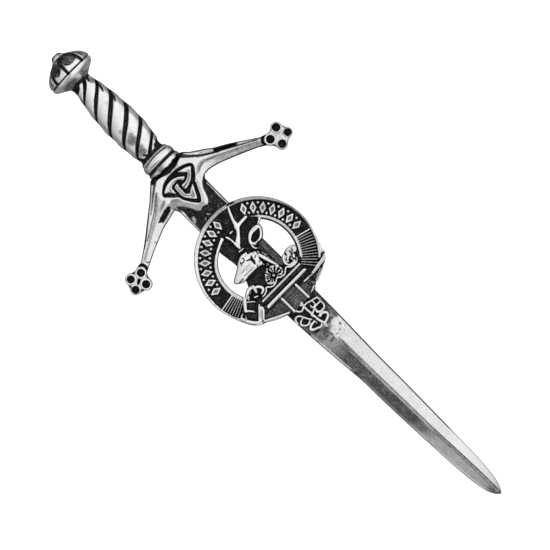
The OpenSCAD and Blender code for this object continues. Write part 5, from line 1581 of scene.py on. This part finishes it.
# Marks on the head. Columns: stain, softness, then points of x, y, width
HEAD_MARKS = [
    (0.97, 0.07, [(47.2, -0.72, 0.26), (47.6, -1.0, 0.46), (48.05, -1.04, 0.5), (48.52, -1.22, 0.24)]),
    (0.90, 0.06, [(47.5, -1.15, 0.36), (47.3, -1.5, 0.26), (47.2, -1.8, 0.18)]),
    (0.80, 0.06, [(47.6, -0.02, 0.12), (47.68, -0.25, 0.2), (47.78, -0.45, 0.14)]),
    (0.95, 0.07, [(48.35, 0.12, 0.16), (48.9, 0.2, 0.26), (49.5, 0.15, 0.3)]),
    (0.75, 0.06, [(48.72, -0.3, 0.16), (48.85, -0.5, 0.2)]),
    (0.62, 0.06, [(48.95, -1.05, 0.2), (49.12, -1.25, 0.14)]),
    (0.40, 0.06, [(47.2, 0.02, 0.12), (47.1, -0.3, 0.12)]),
    (0.40, 0.06, [(46.6, -1.2, 0.12), (46.45, -1.5, 0.12)]),
    (0.97, 0.05, [(46.33, -2.05, 0.12), (46.6, -1.9, 0.14), (46.9, -2.15, 0.16), (46.92, -2.5, 0.16),
                  (46.85, -2.8, 0.18), (46.6, -2.72, 0.12)]),
    (0.90, 0.05, [(46.8, -2.85, 0.16), (47.15, -3.0, 0.14)]),
    (0.80, 0.06, [(48.85, -4.3, 0.16), (48.88, -4.9, 0.18), (48.98, -5.5, 0.16)]),
    (0.40, 0.08, [(47.92, -1.8, 0.12), (47.95, -2.8, 0.2), (48.05, -3.8, 0.16)]),
    (0.38, 0.08, [(48.7, -1.8, 0.14), (48.75, -2.8, 0.2), (48.7, -3.9, 0.16)]),
    (0.22, 0.10, [(48.3, -1.9, 0.14), (48.35, -3.0, 0.16)]),
    (0.28, 0.08, [(49.15, -4.6, 0.24), (49.2, -5.1, 0.2)]),
]
print("lines and marks of the head:", len(STAG_LINES) + len(HEAD_MARKS))

# %% [markdown]
# The coronet is built in the same way. Its leaves are short strokes over one pale body, and the dark gaps
# between them are carved afterwards, as a chaser would do it.

# %% Coronet tables
# Pale body of the upper leaf
LEAF_BODY = [(50.65, 5.3), (51.2, 5.85), (51.85, 5.5), (51.95, 4.95), (51.75, 4.45), (52.0, 4.15),
             (52.15, 3.6), (52.6, 3.3), (52.95, 3.5), (52.9, 2.9), (52.3, 2.42), (51.6, 2.35), (50.9, 2.8),
             (50.72, 3.4), (50.45, 4.2)]
# Leaves of the coronet. Columns: height, stain, then points of x, y, width
LEAF_LINES = [
    (1.60, 0.05, [(50.9, 5.3, 0.5), (51.3, 5.2, 0.6), (51.6, 4.9, 0.4)]),
    (1.60, 0.10, [(50.72, 4.7, 0.4), (50.8, 4.2, 0.5), (50.8, 3.85, 0.34)]),
    (1.70, 0.04, [(50.85, 3.3, 0.4), (51.2, 2.8, 0.5), (51.7, 2.5, 0.46), (52.3, 2.5, 0.42),
                  (52.8, 2.9, 0.42), (52.9, 3.5, 0.36), (52.75, 3.95, 0.3)]),
    (1.65, 0.06, [(51.05, 3.9, 0.4), (51.5, 3.7, 0.56), (51.75, 3.3, 0.5), (51.6, 3.0, 0.3)]),
    (1.85, 0.00, [(52.05, 4.45, 0.42), (52.3, 4.25, 0.48)]),
    (1.75, 0.04, [(52.15, 3.0, 0.34), (52.4, 2.9, 0.26)]),
    (1.70, 0.10, [(52.2, 3.75, 0.34), (52.55, 3.7, 0.2)]),
    (1.65, 0.30, [(52.75, 4.45, 0.34), (53.15, 4.2, 0.3)]),
    (1.75, 0.02, [(51.0, -4.1, 0.6), (50.8, -4.8, 0.68), (50.94, -5.4, 0.68), (51.2, -5.85, 0.62),
                  (51.5, -6.3, 0.54)]),
    (1.75, 0.04, [(50.95, -4.15, 0.5), (51.3, -4.15, 0.54), (51.65, -4.3, 0.56), (52.0, -4.4, 0.4)]),
    (1.75, 0.02, [(51.4, -4.0, 0.4), (51.45, -3.7, 0.54), (51.8, -3.36, 0.54), (52.25, -3.18, 0.54),
                  (52.62, -3.45, 0.46), (52.8, -3.95, 0.34)]),
    (1.65, 0.04, [(52.65, -4.7, 0.28), (52.42, -5.2, 0.34)]),
    (1.60, 0.20, [(51.6, -5.9, 0.4), (51.95, -6.2, 0.44)]),
    (1.60, 0.34, [(51.3, -5.0, 0.2), (51.5, -5.4, 0.2)]),
    (1.75, 0.03, [(50.6, -0.35, 0.32), (50.85, -0.8, 0.3), (51.2, -1.3, 0.34), (51.7, -1.75, 0.34),
                  (52.3, -1.95, 0.34), (52.75, -1.65, 0.34), (52.9, -1.2, 0.3)]),
    (1.75, 0.03, [(50.75, 0.25, 0.34), (51.05, 0.75, 0.34), (51.5, 1.15, 0.36), (52.1, 1.35, 0.34),
                  (52.65, 1.1, 0.34), (52.85, 0.6, 0.3)]),
]
# Dark gaps in the leaves. Columns: stain, softness, then points of x, y, width
LEAF_GAPS = [
    (0.90, 0.06, [(50.82, 3.58, 0.18), (51.1, 3.55, 0.2), (51.3, 3.5, 0.12)]),
    (0.60, 0.08, [(51.15, 4.45, 0.12), (51.5, 4.4, 0.2), (51.8, 4.15, 0.16)]),
    (0.97, 0.06, [(52.05, 3.5, 0.2), (52.4, 3.3, 0.34), (52.5, 2.95, 0.26), (52.3, 2.8, 0.14)]),
    (0.60, 0.06, [(51.55, 3.2, 0.1), (51.8, 2.95, 0.14)]),
    (0.50, 0.08, [(51.1, 5.0, 0.1), (51.4, 4.75, 0.14)]),
    (0.80, 0.06, [(51.85, 3.85, 0.16), (52.0, 3.6, 0.2)]),
    (0.85, 0.06, [(51.0, 1.0, 0.1), (51.25, 0.72, 0.14)]),
    (0.85, 0.06, [(51.75, 1.55, 0.1), (51.8, 1.15, 0.14)]),
    (0.85, 0.06, [(52.45, 1.4, 0.1), (52.35, 1.0, 0.14)]),
    (0.85, 0.06, [(50.95, -1.1, 0.08), (51.2, -0.95, 0.14)]),
    (0.85, 0.06, [(51.4, -1.7, 0.08), (51.6, -1.4, 0.14)]),
    (0.85, 0.06, [(52.1, -2.1, 0.08), (52.1, -1.6, 0.14)]),
]
# Fans of short rays. Columns: middle, length, angles of the rays in degrees
FANS = [((52.1, -0.2), 1.15, (20, 50, 84, 118, 150, 176)),
        ((52.05, -0.55), 1.2, (190, 216, 242, 268, 296, 324))]
# Beads in and beside the fans. Columns: x, y, radius
BEADS = [(52.1, -0.36, 0.3), (49.6, -0.22, 0.2), (50.1, -0.02, 0.15), (50.55, -0.4, 0.22)]
# The scalloped line in front of the bars. Columns: x, y, width
SCALLOPS = [(53.2, 3.9, 0.4), (53.28, 3.3, 0.34), (53.15, 2.7, 0.3), (52.65, 2.02, 0.32), (53.0, 1.5, 0.3),
            (53.25, 1.1, 0.28), (53.2, 0.4, 0.28), (52.8, -0.28, 0.28), (53.1, -0.8, 0.26),
            (53.3, -1.4, 0.26), (53.12, -2.1, 0.3), (52.64, -2.62, 0.34), (53.05, -3.1, 0.3),
            (53.28, -3.7, 0.28), (53.32, -4.2, 0.24)]
# Two bars across the strap. Columns: x, width, y of both ends
CORONET_BARS = [(53.85, 0.42, 3.95, -4.7), (55.22, 0.7, 3.88, -4.66)]
# Heights of leaf, rays, beads, scalloped line, bars and the sunk strip between the bars
LEAF_TOP, FAN_TOP, BEAD_TOP, SCALLOP_TOP, BAR_TOP, STRIP_TOP = 1.5, 1.7, 1.95, 1.8, 1.9, 1.1
# Height and tone of the web, and the soft shadow on the neck. Columns of the shadow: x, y, width
WEB_TOP, WEB_STAIN = 0.75, 0.93
NECK_SHADOW = [(50.3, -1.9, 0.6), (50.5, -3.4, 0.8), (50.3, -4.2, 0.5)]
# The head is a dome: height at its edge, rise, and how far in the full height starts
HEAD_EDGE, HEAD_RISE, HEAD_REACH = 1.9, 0.5, 1.2
EYE, EYE_RADIUS = (46.6, -2.38), 0.17
# The crest and the tail end a little above the ring's flat back
BADGE_FOOT = 0.05
print("lines and gaps of the coronet:", len(LEAF_LINES) + len(LEAF_GAPS))

# %% [markdown]
# With the tables in place, the head and the coronet are drawn from back to front. A raised line also widens
# the outline where it leaves the web, which is how the antlers come to stand free.

# %% Stag and coronet
def draw_lines(land, outline, lines, drop=CROWN_DROP, soft=SOFT):
    """Draws raised lines and returns the outline with them. Columns: height, stain, points of x, y, width."""
    for top, stain_and_shade, path in lines:
        draw(land, path, top, stain_and_shade, drop, soft=soft)
        outline = np.minimum(outline, stroke(land["x"], land["y"], curve(path)))
    return outline


def stag(land, outline):
    """Draws antlers, ear and head. Returns the outline with them."""
    x, y = land["x"], land["y"]
    outline = draw_lines(land, outline, STAG_LINES)
    ear, hollow = (area(x, y, curve(points, True)) for points in (EAR, EAR_HOLLOW))
    lay(land, ear, crown(np.maximum(ear, -hollow), 0.4, 1.85, 0.2), 0.0, 0.06)
    lay(land, hollow, 0.8, 0.97, 0.07)
    carve(land, EAR_SEAM, 0.05, 0.3, soft=0.06)
    head = area(x, y, curve(HEAD, True))
    lay(land, head, HEAD_EDGE + HEAD_RISE * np.sqrt(np.clip(-head / HEAD_REACH, 0, 1)), 0.04, 0.06)
    # The cheek's lower edge is painted dull as shade, where it faces away from the light
    paint(land, np.maximum(np.maximum(head, -head - 0.1), y + 2.4), 0.42, 0.05)
    for stain_and_shade, soft, path in HEAD_MARKS:
        carve(land, path, 0.12 * stain_and_shade, stain_and_shade, soft=soft)
    paint(land, disc(x, y, EYE, EYE_RADIUS), 0.0, 0.05)
    return np.minimum.reduce([outline, ear - 0.12, head])


def coronet(land, outline):
    """Draws leaves, fans, beads and bars. Returns the outline with them."""
    x, y = land["x"], land["y"]
    body = area(x, y, curve(LEAF_BODY, True))
    lay(land, body, LEAF_TOP, 0.14)
    outline = draw_lines(land, np.minimum(outline, body), LEAF_LINES, 0.2)
    for middle, length, turns in FANS:
        for turn in np.radians(turns):
            ray = [(*spot(middle, 0.35 * length, turn), 0.1), (*spot(middle, length, turn), 0.3)]
            draw(land, ray, FAN_TOP, 0.06, 0.2)
    for stain_and_shade, soft, path in LEAF_GAPS:
        carve(land, path, 0.3, stain_and_shade, soft=soft)
    for cx, cy, radius in BEADS:
        bead(land, (cx, cy), radius, BEAD_TOP)
    lay(land, np.maximum(band(x, 54.35, 0.38), band(y, -0.3, 4.5)), STRIP_TOP, 0.82, 0.1)
    draw(land, SCALLOPS, SCALLOP_TOP, 0.02)
    for at, width, high, low in CORONET_BARS:
        draw(land, [(at, high, width), (at, low, width)], BAR_TOP, 0.02, 0.12)
        carve(land, [(at, high - 0.1, 0.08), (at, low + 0.1, 0.08)], 0.05, 0.4, soft=0.06)
    return outline


def stag_crest():
    """Builds the crest: web, stag and coronet."""
    land = new_land((38.1, 56.0), (-6.9, 6.1), FINE_CELL, WEB_TOP, WEB_STAIN)
    x, y = land["x"], land["y"]
    paint(land, stroke(x, y, curve(NECK_SHADOW)), 0.82, 0.4)
    outline = stag(land, np.minimum(area(x, y, WEB), area(x, y, CORONET)))
    outline = coronet(land, outline)
    drop_edge(land, outline, 0.25, 0.2)
    cast("stag_crest", land, outline, foot=BADGE_FOOT, node_name="crest_badge")


stag_crest()

# %% [markdown]
# ## The strap's tail
# The tail leaves the ring along the blade and ends in wire-like loops with the dark seat showing between
# them. The loops could be separate tubes, but the real tail is cast in one with the badge, so its wires are
# ridges on one land that run into one another.

# %% Tail
# How much the wires are wider than their table says
WIRE_SPREAD = 0.08
WIRE_STAIN = 0.02
# Columns: height, then points of x, y, width
TAIL_LINES = [
    (1.35, [(59.0, -0.5, 0.4), (60.0, -0.56, 0.36), (60.9, -0.5, 0.36), (61.4, -0.55, 0.5),
            (61.9, -0.45, 0.36), (62.6, -0.4, 0.4), (63.2, -0.25, 0.4), (63.7, -0.05, 0.4),
            (64.35, -0.15, 0.36)]),
    (1.30, [(59.3, -0.3, 0.26), (59.3, 0.2, 0.26), (59.5, 0.8, 0.28), (59.67, 1.5, 0.28),
            (59.87, 2.08, 0.28), (60.4, 2.14, 0.22)]),
    (1.25, [(60.66, 2.0, 0.3), (60.68, 1.1, 0.28), (60.9, 0.35, 0.28), (61.2, -0.3, 0.3)]),
    (1.30, [(60.7, 2.05, 0.26), (61.3, 2.07, 0.26), (61.8, 1.85, 0.3), (61.95, 1.35, 0.3),
            (61.85, 0.75, 0.34), (61.55, 0.42, 0.44), (61.2, 0.55, 0.26)]),
    (1.20, [(59.7, 1.08, 0.2), (60.25, 1.1, 0.2), (60.62, 0.7, 0.24), (60.4, 0.28, 0.24), (60.0, 0.35, 0.2)]),
    (1.30, [(62.25, 0.1, 0.3), (62.3, 0.8, 0.42), (62.6, 1.3, 0.4), (62.95, 1.42, 0.38),
            (63.35, 1.15, 0.38), (63.6, 0.55, 0.36), (63.75, 0.05, 0.36)]),
    (1.20, [(62.3, 0.7, 0.34), (62.45, 0.25, 0.34)]),
    (1.30, [(59.4, -0.7, 0.3), (59.65, -1.3, 0.28), (59.45, -1.7, 0.3), (59.05, -1.95, 0.3),
            (58.65, -2.15, 0.3)]),
    (1.30, [(61.8, -1.2, 0.26), (61.1, -1.62, 0.28), (60.4, -1.96, 0.28), (59.9, -2.3, 0.3),
            (59.75, -2.85, 0.3), (60.1, -3.22, 0.3), (60.65, -3.3, 0.26)]),
    (1.25, [(60.62, -2.1, 0.22), (60.78, -2.65, 0.28), (61.1, -3.02, 0.3), (61.55, -2.88, 0.3),
            (61.95, -2.4, 0.3), (61.98, -1.95, 0.28), (61.75, -1.6, 0.26)]),
    (1.30, [(62.35, -1.05, 0.34), (62.4, -1.7, 0.36), (62.62, -2.25, 0.42), (62.95, -2.42, 0.46),
            (63.3, -2.05, 0.38), (63.5, -1.5, 0.34), (63.75, -0.95, 0.32), (63.55, -0.5, 0.3)]),
    (1.25, [(62.4, -1.05, 0.2), (62.9, -0.98, 0.14)]),
]
# Beads where the wires leave the strap. Columns: x, y, radius
TAIL_BEADS = [(58.68, -0.42, 0.34), (58.82, -0.78, 0.28)]
TAIL_BEAD_TOP = 1.65


def strap_tail():
    """Builds the tail from rounded ridges and two beads."""
    land = new_land((58.0, 64.9), (-3.8, 2.7), WIRE_CELL, 1.0, 0.2)
    outline = np.full(land["x"].shape, FAR)
    for top, path in TAIL_LINES:
        wire = [(px, py, width + WIRE_SPREAD) for px, py, width in path]
        outline = draw_lines(land, outline, [(top, WIRE_STAIN, wire)], soft=0.05)
    for cx, cy, radius in TAIL_BEADS:
        outline = np.minimum(outline, bead(land, (cx, cy), radius, TAIL_BEAD_TOP))
    drop_edge(land, outline, 0.15, 0.12)
    cast("strap_tail", land, outline, foot=BADGE_FOOT, node_name="crest_badge")


strap_tail()

# %% [markdown]
# ## The pin fitting behind
# The fitting is a plain soldered piece: bar, hinge block, wire and catch. It hides behind the sword, so its
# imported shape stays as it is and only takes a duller, rubbed metal.

# %% Pin fitting
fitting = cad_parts["brooch_pin"]
fitting.data.materials.clear()
fitting.data.materials.append(pin_metal)
print("pin fitting keeps", len(fitting.data.polygons), "faces")

# %% Finish
print(len(triangle_counts), "pieces with", sum(triangle_counts), "triangles in all")
